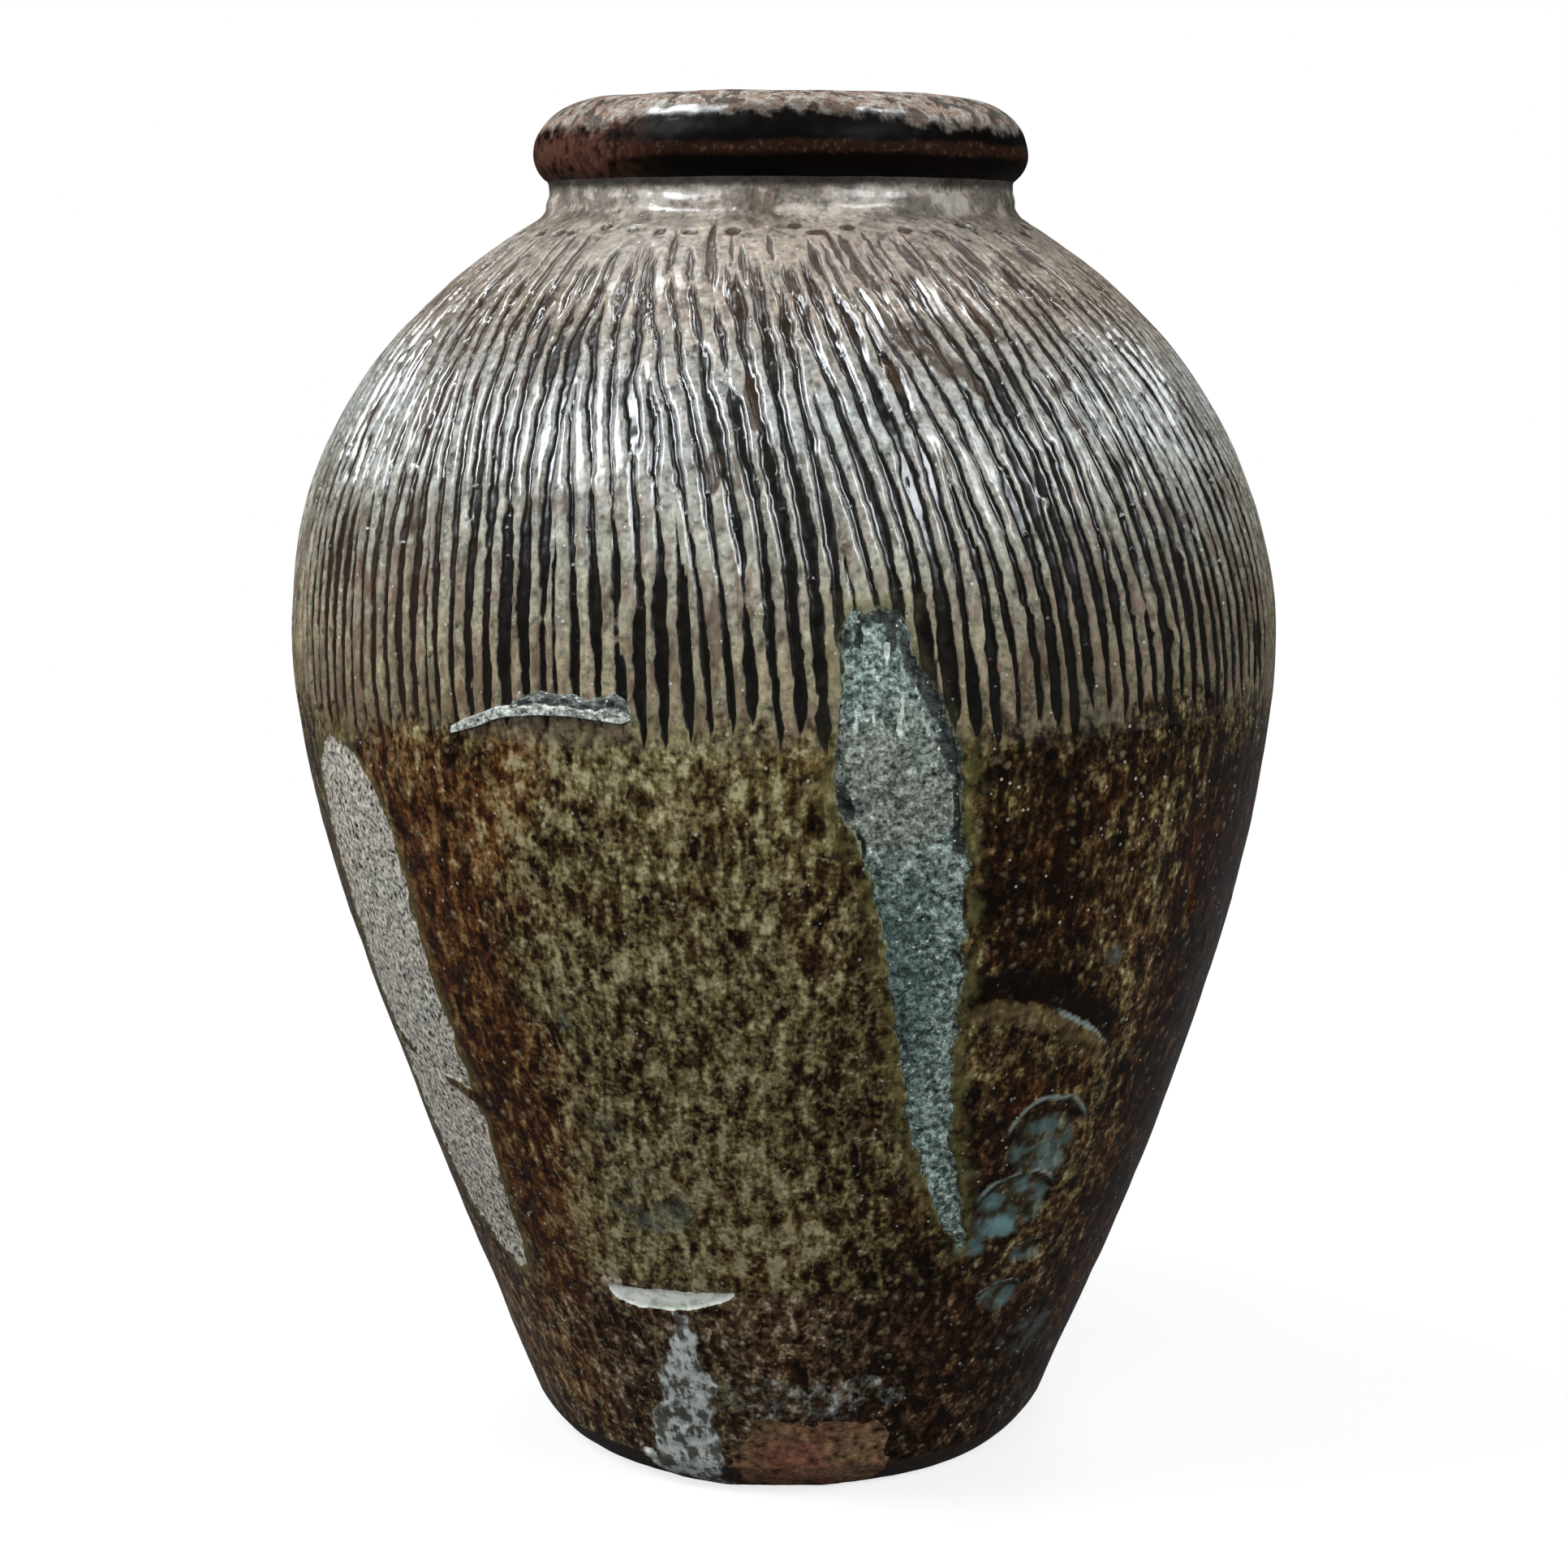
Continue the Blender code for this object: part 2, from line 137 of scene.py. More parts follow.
def wall_outline():
    """The outside from the top of the heel to the narrowest line of the neck."""
    rise = BELLY_HEIGHT - HEEL_HEIGHT
    start = WALL_START_SHARE * rise
    lower = bezier([(HEEL_RADIUS, HEEL_HEIGHT), (HEEL_RADIUS + WALL_LEAN * start, HEEL_HEIGHT + start),
                    (BELLY_RADIUS, BELLY_HEIGHT - WALL_END_SHARE * rise), (BELLY_RADIUS, BELLY_HEIGHT)],
                   CURVE_POINTS)
    rise = SHOULDER_END_HEIGHT - BELLY_HEIGHT
    end = SHOULDER_END_SHARE * rise
    upper = bezier([(BELLY_RADIUS, BELLY_HEIGHT), (BELLY_RADIUS, BELLY_HEIGHT + SHOULDER_START_SHARE * rise),
                    (SHOULDER_END_RADIUS + SHOULDER_LEAN * end, SHOULDER_END_HEIGHT - end),
                    (SHOULDER_END_RADIUS, SHOULDER_END_HEIGHT)], CURVE_POINTS)
    bend = SHOULDER_END_HEIGHT + (SHOULDER_END_RADIUS - NECK_RADIUS) / SHOULDER_LEAN
    neck = bezier([(SHOULDER_END_RADIUS, SHOULDER_END_HEIGHT), (NECK_RADIUS, bend),
                   (NECK_RADIUS, NECK_HEIGHT)], CURVE_POINTS // 4)
    return np.concatenate([lower, upper[1:], neck[1:]])


def shifted(path, distance):
    """A rising outline moved outwards, square to itself."""
    along = np.gradient(path, axis=0)
    along /= np.linalg.norm(along, axis=1)[:, None]
    return path + distance * np.stack([along[:, 1], -along[:, 0]], 1)


def whole_skin():
    """The visible outline: underside, heel, wall, rolled rim, lip and throat, in one path."""
    underside = np.array([(CAP_RADIUS, 0.0), (FOOT_RADIUS, 0.0)])
    corner = FOOT_RADIUS + (HEEL_RADIUS - FOOT_RADIUS) * HEEL_CORNER_SHARE
    heel = bezier([(FOOT_RADIUS, 0), (corner, 0), (HEEL_RADIUS, HEEL_HEIGHT)], CURVE_POINTS // 8)
    under_centre = (RIM_RADIUS - ROLL_ROUND, ROLL_HEIGHT)
    curl = math.degrees(math.acos((NECK_RADIUS - under_centre[0]) / ROLL_ROUND))
    under = ellipse_arc(under_centre, ROLL_ROUND, ROLL_DROP, -curl, 0, CURVE_POINTS // 8)
    over = ellipse_arc((CREST_RADIUS, ROLL_HEIGHT), RIM_RADIUS - CREST_RADIUS, CREST_HEIGHT - ROLL_HEIGHT,
                       0, 90, CURVE_POINTS // 4)
    bore_top = CREST_HEIGHT - LIP_DROP
    lip = ellipse_arc((CREST_RADIUS, bore_top), CREST_RADIUS - MOUTH_RADIUS, LIP_DROP,
                      90, 180, CURVE_POINTS // 8)
    inner_neck = NECK_RADIUS - WALL
    middle = (bore_top - BORE_DEPTH + NECK_HEIGHT) / 2
    throat = bezier([(MOUTH_RADIUS, bore_top - BORE_DEPTH), (MOUTH_RADIUS, middle), (inner_neck, middle),
                     (inner_neck, NECK_HEIGHT)], CURVE_POINTS // 8)
    return np.concatenate([underside, heel[1:], WALL_OUTLINE[1:], under, over[1:], lip[1:], throat])


WALL_OUTLINE = wall_outline()
INNER_OUTLINE = shifted(WALL_OUTLINE, -WALL)
SKIN = whole_skin()
SKIN_LENGTH = np.concatenate([[0], np.cumsum(np.linalg.norm(np.diff(SKIN, axis=0), axis=1))])
CREST = int(np.argmax(SKIN[:, 1]))
CREST_LENGTH = SKIN_LENGTH[CREST]
RISING = slice(1, CREST + 1)


def skin_at(length):
    """Radius and height of the skin at lengths along it."""
    return np.stack([np.interp(length, SKIN_LENGTH, side) for side in SKIN.T], 1)


def length_at(height):
    """Length along the skin, on the outside, at a height."""
    return float(np.interp(height, SKIN[RISING, 1], SKIN_LENGTH[RISING]))


def radius_at(height):
    """Outside radius at heights."""
    return np.interp(height, SKIN[RISING, 1], SKIN[RISING, 0])


def step(low, high, value):
    """A smooth step from 0 at low to 1 at high."""
    t = np.clip((value - low) / (high - low), 0, 1)
    return t * t * (3 - 2 * t)


def eased(value, places, amounts):
    """Amounts at given places, joined by smooth steps."""
    result = np.full(np.shape(value), float(amounts[0]))
    for start, end, before, after in zip(places, places[1:], amounts, amounts[1:]):
        result = result + (after - before) * step(start, end, value)
    return result


def lean_of_axis(height):
    """How far the hand-thrown jar wanders to the right of its axis, in millimetres."""
    return eased(height, (0, 100, 271, 340, 430), (2.0, 3.2, 0.0, -1.6, -1.0))


def lattice(cell, seed):
    """A repeatable number between -1 and 1 for each whole-numbered cell."""
    mixed = (cell[..., 0] * 374761393 + cell[..., 1] * 668265263 + cell[..., 2] * 362437 + seed * 982451653)
    mixed = mixed & 0xFFFFFFFF
    mixed = ((mixed ^ (mixed >> 13)) * 1274126177) & 0xFFFFFFFF
    return ((mixed ^ (mixed >> 16)) & 0xFFFF) / 32767.5 - 1


def cloud(points, size, seed):
    """Smooth noise between -1 and 1 whose lumps are about the given size."""
    place = points / size + 1000
    cell = np.floor(place).astype(np.int64)
    t = place - cell
    t = t * t * (3 - 2 * t)
    total = 0
    for corner in range(8):
        offset = np.array([corner & 1, corner >> 1 & 1, corner >> 2])
        weight = np.prod(np.where(offset, t, 1 - t), axis=-1)
        total = total + weight * lattice(cell + offset, seed)
    return total


def clouds(points, size, octaves, seed):
    """Noise of several sizes, each half the last in size and strength."""
    return sum(cloud(points, size / 2**k, seed + k) / 2**k for k in range(octaves))


class Wall:
    """Points of the unrolled outside, with what is worked out from their place."""

    def __init__(self, azimuth, height, radius):
        self.azimuth = azimuth
        self.height = height
        self.radius = radius
        self.shape = np.broadcast(azimuth, height).shape
        self.from_front = np.mod(azimuth + 180, 360) - 180
        turn = np.radians(azimuth)
        self.around = np.stack(np.broadcast_arrays(radius * np.sin(turn), -radius * np.cos(turn), height), -1)
        self.upright = self.drawn_out(0.22)

    def drawn_out(self, share):
        """The points with their heights shrunk to a share, so that noise on them comes out tall."""
        return self.around * np.array([1, 1, share])

    def across(self, azimuth):
        """Distance in millimetres to the right of an azimuth."""
        return (np.mod(self.azimuth - azimuth + 180, 360) - 180) * np.radians(1) * self.radius

    def within(self, left, right, low, high):
        """Signed distance in millimetres inside a box between two azimuths and two heights."""
        half = (right - left) / 2 * np.radians(1) * self.radius
        sideways = half - np.abs(self.across((left + right) / 2))
        return np.minimum(sideways, np.minimum(self.height - low, high - self.height))

    def patch(self, left, right, low, high, soft=5.0):
        """1 inside such a box, 0 outside, with a soft edge."""
        return step(-soft, soft, self.within(left, right, low, high))

    def band(self, low, full, still, high):
        """1 between two heights, fading to 0 at a lower and a higher one."""
        return step(low, full, self.height) * step(high, still, self.height)

    def oval(self, azimuth, height, width, tall, tilt=0.0):
        """Distance from an oval's middle, 1 on its edge."""
        turn = math.radians(tilt)
        x = self.across(azimuth)
        y = self.height - height
        along = x * math.cos(turn) + y * math.sin(turn)
        up = y * math.cos(turn) - x * math.sin(turn)
        return np.hypot(along / (width / 2), up / (tall / 2))

    def ovals(self, table, low, high, wander):
        """The strongest of some soft ovals: azimuth, height, width, tallness, tilt and strength."""
        amount = np.zeros(self.shape)
        for *oval, strength in table:
            amount = np.maximum(amount, strength * step(low, high, self.oval(*oval) + wander))
        return amount

    def line(self, path):
        """Distance in millimetres to a path of azimuths and heights."""
        nearest = np.full(self.shape, 1e3)
        for (a0, h0), (a1, h1) in zip(path, path[1:]):
            x, y = self.across(a0), self.height - h0
            scale = np.radians(1) * self.radius
            dx, dy = (a1 - a0) * scale, h1 - h0
            share = np.clip((x * dx + y * dy) / (dx * dx + dy * dy), 0, 1)
            nearest = np.minimum(nearest, np.hypot(x - share * dx, y - share * dy))
        return nearest

    def inside(self, edges):
        """Signed distance in millimetres inside a tall shape with left and right edges."""
        heights, *sides = np.array(edges, float).T
        left, right = (np.interp(self.height, heights, side) for side in sides)
        return self.within(left, right, heights[0], heights[-1])


def ragged_scar(wall):
    """Signed distance in millimetres inside the scar's broken outline."""
    return wall.inside(SCAR_EDGES) + 1.9 * clouds(wall.around, 6.5, 3, 50)


def stroke_ends(wall):
    """The height where the comb left the clay, for each azimuth."""
    azimuths = (-180, -62, -50, -38, -28, 0, 18, 60, 75, 180)
    return eased(wall.from_front, azimuths, (252, 246, 249, 252, 257, 257, 258, 257, 252, 252))


def comb_lean(height, centre):
    """How many degrees a stroke that starts at an azimuth has drifted at a height."""
    slant = eased(centre, (-170, -120, -60, 0, 20), (0.032, 0.024, 0.018, 0.022, 0.032))
    sway = eased(centre, (-120, -50, 5, 60), (3.0, 5.5, 7.0, 3.0))
    climb = np.clip((height - 300) / 85, 0, 2)
    return -slant * (height - 255) - sway * climb**2


def combing(wall):
    """Depth of the combed grooves and of the short dashes above them, 0 to 1."""
    draw = np.random.default_rng(7)
    astray = draw.uniform(-0.08, 0.08, COMB_STROKES)
    centres = -180 + 360 / COMB_STROKES * (np.arange(COMB_STROKES) + 0.5 + astray)
    depth = np.zeros(wall.shape)
    reach = COMB_TEETH / 2
    ends = stroke_ends(wall)
    tooth_widths = draw.uniform(0.72, 1.14, COMB_TEETH + 2)
    wobble = 0.13 * cloud(wall.upright, 9.0, 31) + 0.07 * cloud(wall.around, 4.0, 35)
    worn = 0.35 * step(0.40, 0.85, cloud(wall.drawn_out(0.4), 12.0, 33))
    bridges = 0.45 * step(0.55, 0.85, cloud(wall.drawn_out(0.6), 4.5, 39))
    uneven = 0.26 * cloud(wall.upright, 5.0, 37) + 0.16 * cloud(wall.around, 2.6, 38)
    uneven = uneven + 0.26 * cloud(wall.drawn_out(0.4), 10.0, 34)
    deeper = 0.16 * wall.patch(0, 70, 258, 335, 12.0)
    strength_here = (1 - worn) * (1 - bridges) * (1 + uneven + deeper)
    for number in draw.permutation(COMB_STROKES):
        drift = comb_lean(wall.height, centres[number])
        sway = 0.5 * np.sin(wall.height / draw.uniform(24, 40) + draw.uniform(0, 6))
        place = (wall.across(centres[number] + drift) + sway) / TOOTH_PITCH + wobble
        tooth = np.clip(np.rint(place), -(reach - 0.5), reach - 0.5)
        index = (tooth + reach - 0.5).astype(int)
        low = ends + draw.uniform(-5, 5, COMB_TEETH)[index]
        high = draw.uniform(378, 393) + draw.uniform(-7, 7, COMB_TEETH)[index]
        fade = step(-4, 12, wall.height - low) * step(-2, 12, high - wall.height)
        strength = fade * strength_here * tooth_widths[index]
        cut = step(0.0, 0.27, 0.395 * strength - np.abs(place - tooth))
        depth = np.where(np.abs(place) < reach, cut, depth)
    dash_depth = np.zeros(wall.shape)
    dash_wobble = 0.6 * cloud(wall.around, 3.0, 44)
    for number in range(DASHES):
        azimuth = 360 * (number + draw.uniform(-0.35, 0.35)) / DASHES - 180
        height = draw.uniform(379, 394)
        tall = draw.uniform(10, 24)
        wide = draw.uniform(1.0, 2.2) * (draw.uniform() > 0.10)
        across = wall.across(azimuth - 0.17 * (wall.height - height)) + dash_wobble
        up = (wall.height - height) / (tall / 2)
        cut = step(0.0, 1.0, wide * np.clip(1 - up**2, 0, 1) - np.abs(across))
        dash_depth = np.maximum(dash_depth, cut)
    for number in range(NICKS):
        azimuth = 360 * (number + draw.uniform(-0.4, 0.4)) / NICKS - 180
        height = draw.uniform(397.5, 400.5)
        nick = wall.oval(azimuth, height, draw.uniform(3, 9), draw.uniform(1.6, 3.0))
        dash_depth = np.maximum(dash_depth, step(1.1, 0.5, nick))
    return depth, dash_depth


# Dents of fingers: azimuth, height, width, tallness and tilt
FINGER_OVALS = (
    (36.0, 127, 32, 27, -24), (33.5, 106, 30, 20, -10), (38.5, 85, 16, 9, 0), (35.0, 70, 18, 11, 0),
)
# The crest of the ledge over them: azimuth and height
LEDGE_PATH = ((19.5, 180), (25, 179), (30, 176), (35, 170), (40, 162), (44, 154))
# Drops of glaze that stand up: azimuth, height, width and how far
NUBS = (
    (-31, 174, 3.4, 1.1), (-10, 237, 3.0, 0.9), (55, 195, 6.0, 1.5), (45, 282, 8.0, 1.3),
    (-6.5, 285, 3.0, 0.9), (-1.5, 284, 3.2, 0.9), (-31, 10, 6.0, 1.0), (42, 284, 5.0, 1.1),
    (31, 237, 3.0, 0.7), (-43, 199, 2.5, 0.7),
)


def finger_marks(wall):
    """Dents left by fingers in the wet glaze, and the rims pushed up round them."""
    dents = np.zeros(wall.shape)
    rims = np.zeros(wall.shape)
    wander = 0.08 * cloud(wall.around, 5.0, 63)
    for azimuth, height, width, tall, tilt in FINGER_OVALS:
        reach = wall.oval(azimuth, height, width, tall, tilt)
        dents = np.maximum(dents, step(1.05, 0.6, reach))
        upper = step(-0.1, 0.7, (wall.height - height) / (tall / 2))
        rims = np.maximum(rims, upper * step(0.13, 0.0, np.abs(reach - 1.05 + wander)))
    return dents, rims


def ledge_marks(wall):
    """Millimetres below the crest of the ledge, and how much of the ledge there is towards its ends."""
    places, heights = np.array(LEDGE_PATH, float).T
    azimuth = wall.from_front
    drop = np.interp(azimuth, places, heights) - wall.height + 0.9 * cloud(wall.around, 7.0, 61)
    ends = step(places[0] - 3, places[0] + 4, azimuth) * step(places[-1] + 2, places[-1] - 4, azimuth)
    return drop, ends


def relief(wall):
    """How far the glazed surface stands out of the plain wall, in millimetres, with its masks."""
    comb, dash = combing(wall)
    strip = wall.inside(STRIP_EDGES) + 2.0 * clouds(wall.around, 9.0, 3, 60)
    crossing = np.abs(wall.height - 139 + 0.2 * wall.across(-57) + 0.9 * cloud(wall.around, 5.0, 64))
    strip -= 16.0 * step(2.4, 0.8, crossing)
    ragged = ragged_scar(wall)
    dents, rims = finger_marks(wall)
    drop, ends = ledge_marks(wall)
    ledge = ends * step(-0.6, 1.6, drop) * step(17.0, 3.0, drop)
    out = 0.35 * clouds(wall.around, 26.0, 3, 11) - 0.35 + 0.06 * clouds(wall.around, 5.0, 2, 21)
    below_rim = step(RIM_SEAM + 6, RIM_SEAM - 6, wall.height)
    out -= GROOVE_DEPTH * comb + DASH_DEPTH * dash
    out += 0.6 * rims + 1.1 * ledge - 0.9 * dents
    out += 0.4 * step(-4.0, -0.5, ragged) * step(0.6, -0.5, ragged)
    out += 0.25 * step(-2.5, -0.8, strip) * step(0.5, -0.5, strip) - 0.45 * step(-0.8, 1.0, strip)
    bead = step(2.6, 0.4, np.abs(wall.height - BEAD_HEIGHT - 0.8 * cloud(wall.around, 9.0, 66)))
    out += 0.7 * bead * (0.7 + 0.5 * cloud(wall.around, 7.0, 67))
    out += 0.14 * clouds(wall.around, 4.0, 2, 23) * step(394, 399, wall.height)
    seam = np.abs(wall.height - FOOT_SEAM + 0.6 * cloud(wall.around, 20.0, 5))
    out -= 0.45 * step(1.4, 0.0, seam) * wall.patch(-75, 60, 60, 100)
    for azimuth, height, width, stand in NUBS:
        out = out + stand * step(1.0, 0.2, wall.oval(azimuth, height, width, width))
    out -= 2.2 * step(0.0, 1.1, ragged)
    out = out * below_rim + (1 - below_rim) * (0.30 * clouds(wall.around, 14.0, 3, 41) - 0.35)
    # The ledge's crest is a painted highlight, kept in the rims map.
    crest = ends * step(2.0, 0.3, np.abs(drop - 0.6)) * step(28, 36, wall.from_front)
    masks = {"comb": comb, "dash": dash, "scar": ragged, "strip": strip, "ledge": ledge}
    masks["rims"] = np.maximum(rims, crest)
    masks["shadow"] = ends * step(-13.0, -1.5, drop) * step(0.8, -0.8, drop)
    return out, masks


# Soft areas of colour on the unrolled wall: left, right, low, high and how much there
KHAKI_AREAS = (
    (-33, 6, 70, 262, 0.52), (-50, -33, 60, 240, 0.34), (6, 24, 60, 258, 0.42), (20, 37, 80, 250, 0.10),
    (36, 52, 196, 238, 0.38), (51, 80, 40, 250, 0.0), (-80, 8, 8, 60, 0.52), (12, 80, 8, 74, 0.20),
    (-32, 2, 236, 262, 0.70), (-15, 0, 40, 84, 0.60), (-30, 2, 70, 216, 0.58), (-30, 2, 82, 132, 0.70),
    (20, 60, 240, 262, 0.26), (20, 44, 150, 178, 0.40), (98, 126, 50, 230, 0.20), (135, 160, 20, 180, 0.60),
    (165, 200, 120, 250, 0.26), (-150, -118, 60, 240, 0.60), (-112, -92, 20, 200, 0.20),
    (168, 196, 20, 90, 0.55),
)
RUST_AREAS = (
    (-50, -32, 55, 246, 0.80), (48, 82, 40, 240, 0.70), (-74, -40, 22, 76, 0.70), (-82, -66, 60, 250, 0.5),
    (2, 12, 236, 262, 0.5), (-14, 0, 50, 100, 0.40), (20, 48, 20, 240, 0.42),
    (95, 125, 30, 250, 0.75), (165, 190, 20, 240, 0.60), (-125, -95, 20, 220, 0.65),
)
# Milky blue pools, and smears of brown glaze over the comb's strokes: azimuth, height, width, tallness,
# tilt and how strong
MILK_POOLS = (
    (-20, 110, 34, 26, -10, 0.50), (-27.5, 176, 12, 20, -10, 0.35), (-24.5, 141, 22, 22, -10, 0.30),
    (-14, 88, 30, 16, -10, 0.22), (36.0, 127, 34, 27, -10, 0.66), (33.5, 106, 32, 20, -10, 0.74),
    (30.0, 98, 20, 10, -10, 1.10), (38.5, 85, 16, 9, -10, 0.66), (35, 70, 20, 12, -10, 0.66),
    (47, 49, 34, 20, -10, 0.46), (40, 187, 14, 11, -10, 0.50), (27, 91, 14, 8, -10, 0.72),
)
SMEARS = (
    (16, 371, 15, 6, -55, 1), (20.5, 364, 20, 7, -55, 1), (25, 356, 15, 6, -50, 1),
    (14.5, 359, 10, 5, -60, 1), (30, 372, 12, 5, -50, 1), (-3, 352, 5, 18, 8, 1),
    (-7, 331, 4, 14, 0, 1), (38, 344, 10, 5, -45, 1), (-44, 318, 4, 16, 4, 1),
)


def tint(wall, areas, start, seed):
    """One of the jar's tints as a soft map with wandering edges, 0 to 1."""
    amount = np.full(wall.shape, float(start))
    wander = 11.0 * clouds(wall.around, 36.0, 4, seed)
    for *box, strength in areas:
        share = step(-15.0, 15.0, wall.within(*box) + wander)
        amount = amount + (strength - amount) * share
    return amount


# The left and right edges of the milky run and of the bare patch at the foot
RUN_EDGES = (
    (1, -27.0, -14.0), (5, -31.0, -13.5), (18, -29.0, -14.0), (30, -26.0, -14.5), (45, -24.0, -15.0),
    (58, -20.5, -16.5), (68, -18.5, -17.5),
)
RED_EDGES = ((2, -11.0, 21.0), (14, -11.5, 20.0), (24, -9.0, 19.0), (29, -6.0, 17.0))


def pale_marks(wall):
    """The white crescent under the foot seam, the grey-white run below it and the red-brown bare patch."""
    away = (wall.from_front + 20.0) / 11.0
    top = FOOT_SEAM - 1.2 + 1.5 * away
    sag = top - 0.6 - 7.0 * np.clip(1 - away**2, 0, 1) ** 0.55 * (1 - 0.3 * away)
    inside = np.minimum(wall.height - sag, top - wall.height) + 0.4 * cloud(wall.around, 3.0, 70)
    crescent = step(-0.4, 0.7, np.minimum(inside, 12.0 - 12.0 * np.abs(away)))
    crescent = np.maximum(crescent, step(1.1, 0.8, wall.oval(-31, 10, 6, 5)))
    run = wall.inside(RUN_EDGES) + 2.6 * clouds(wall.around, 7.0, 3, 71)
    speckled = 0.42 * step(1.2, 0.5, wall.oval(4, 39, 78, 20) + 0.3 * clouds(wall.around, 8.0, 2, 75))
    red = wall.inside(RED_EDGES) + 2.2 * clouds(wall.around, 7.0, 3, 81)
    return crescent, np.maximum(step(-3.0, 3.0, run), speckled), step(-1.6, 1.6, red)


def dressed(wall):
    """The relief and every map that the glaze's material reads."""
    out, masks = relief(wall)
    crescent, run, red = pale_marks(wall)
    out += 0.3 * run - 0.3 * red - 0.7 * crescent
    khaki = tint(wall, KHAKI_AREAS, 0.40, 101) - 0.8 * masks.pop("shadow")
    milk = wall.ovals(MILK_POOLS, 1.25, 0.55, 0.28 * clouds(wall.around, 9.0, 2, 131))
    smear = wall.ovals(SMEARS, 1.3, 0.6, 0.35 * clouds(wall.around, 6.0, 3, 135))
    masks.update(khaki=khaki, rust=tint(wall, RUST_AREAS, 0.25, 111), milk=milk, smear=smear,
                 crescent=crescent, run=run, red=red)
    return out, masks


def placed(radius, height, azimuth):
    """Points in metres from radius, height and azimuth, with the jar's slight wander."""
    turn = np.radians(azimuth)
    x = radius * np.sin(turn) + lean_of_axis(height)
    return np.stack([x + 0 * height, -radius * np.cos(turn) + 0 * height, height + 0 * turn], -1) * MM


def new_object(name, data):
    """A new object in the scene."""
    made = bpy.data.objects.new(name, data)
    bpy.context.scene.collection.objects.link(made)
    return made


def make_object(name, points, faces, slot_name, nodes):
    """A new piece of the scene from its points and faces."""
    mesh = bpy.data.meshes.new(name)
    mesh.from_pydata(points.reshape(-1, 3).tolist(), [], faces)
    piece = new_object(name, mesh)
    mesh.materials.append(MATERIALS[slot_name])
    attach(piece, "root")
    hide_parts(*nodes)
    return piece


def grid_faces(rows, columns, closed_rows):
    """Four-cornered faces of a tube of points, rows by columns, closed sideways."""
    row = np.arange(rows if closed_rows else rows - 1)[:, None]
    column = np.arange(columns)[None, :]
    above = (row + 1) % rows
    beside = (column + 1) % columns
    corners = ((row, column), (row, beside), (above, beside), (above, column))
    return np.stack([up * columns + along for up, along in corners], -1).reshape(-1, 4)


def add_map(mesh, name, values):
    """Store one number for each point of the mesh."""
    layer = mesh.attributes.new(name, "FLOAT", "POINT")
    layer.data.foreach_set("value", values.astype(np.float32).ravel())


# The layout of the baked colours: strips for the front half and the back, and the margin round each
BAKE_STRIPS = 2
BAKE_MARGIN = 0.01


def lay_out_bake(mesh, rows, columns):
    """Unroll a tube of faces in strips for its baked colours."""
    layer = mesh.uv_layers.new(name="OFBake")
    row = np.arange(rows)[:, None, None]
    column = np.arange(columns)[None, :, None]
    across = column + np.array([0, 1, 1, 0])
    up = row + np.array([0, 0, 1, 1])
    per_strip = columns / BAKE_STRIPS
    strip = np.floor(column / per_strip)
    used = 1 - 2 * BAKE_MARGIN
    u = BAKE_MARGIN + used * (across - strip * per_strip) / per_strip
    v = (strip + BAKE_MARGIN + used * up / rows) / BAKE_STRIPS
    uv = np.stack(np.broadcast_arrays(u, v), -1).reshape(-1, 2)
    padded = np.zeros((len(mesh.loops), 2))
    padded[:len(uv)] = uv
    layer.data.foreach_set("uv", padded.astype(np.float32).ravel())


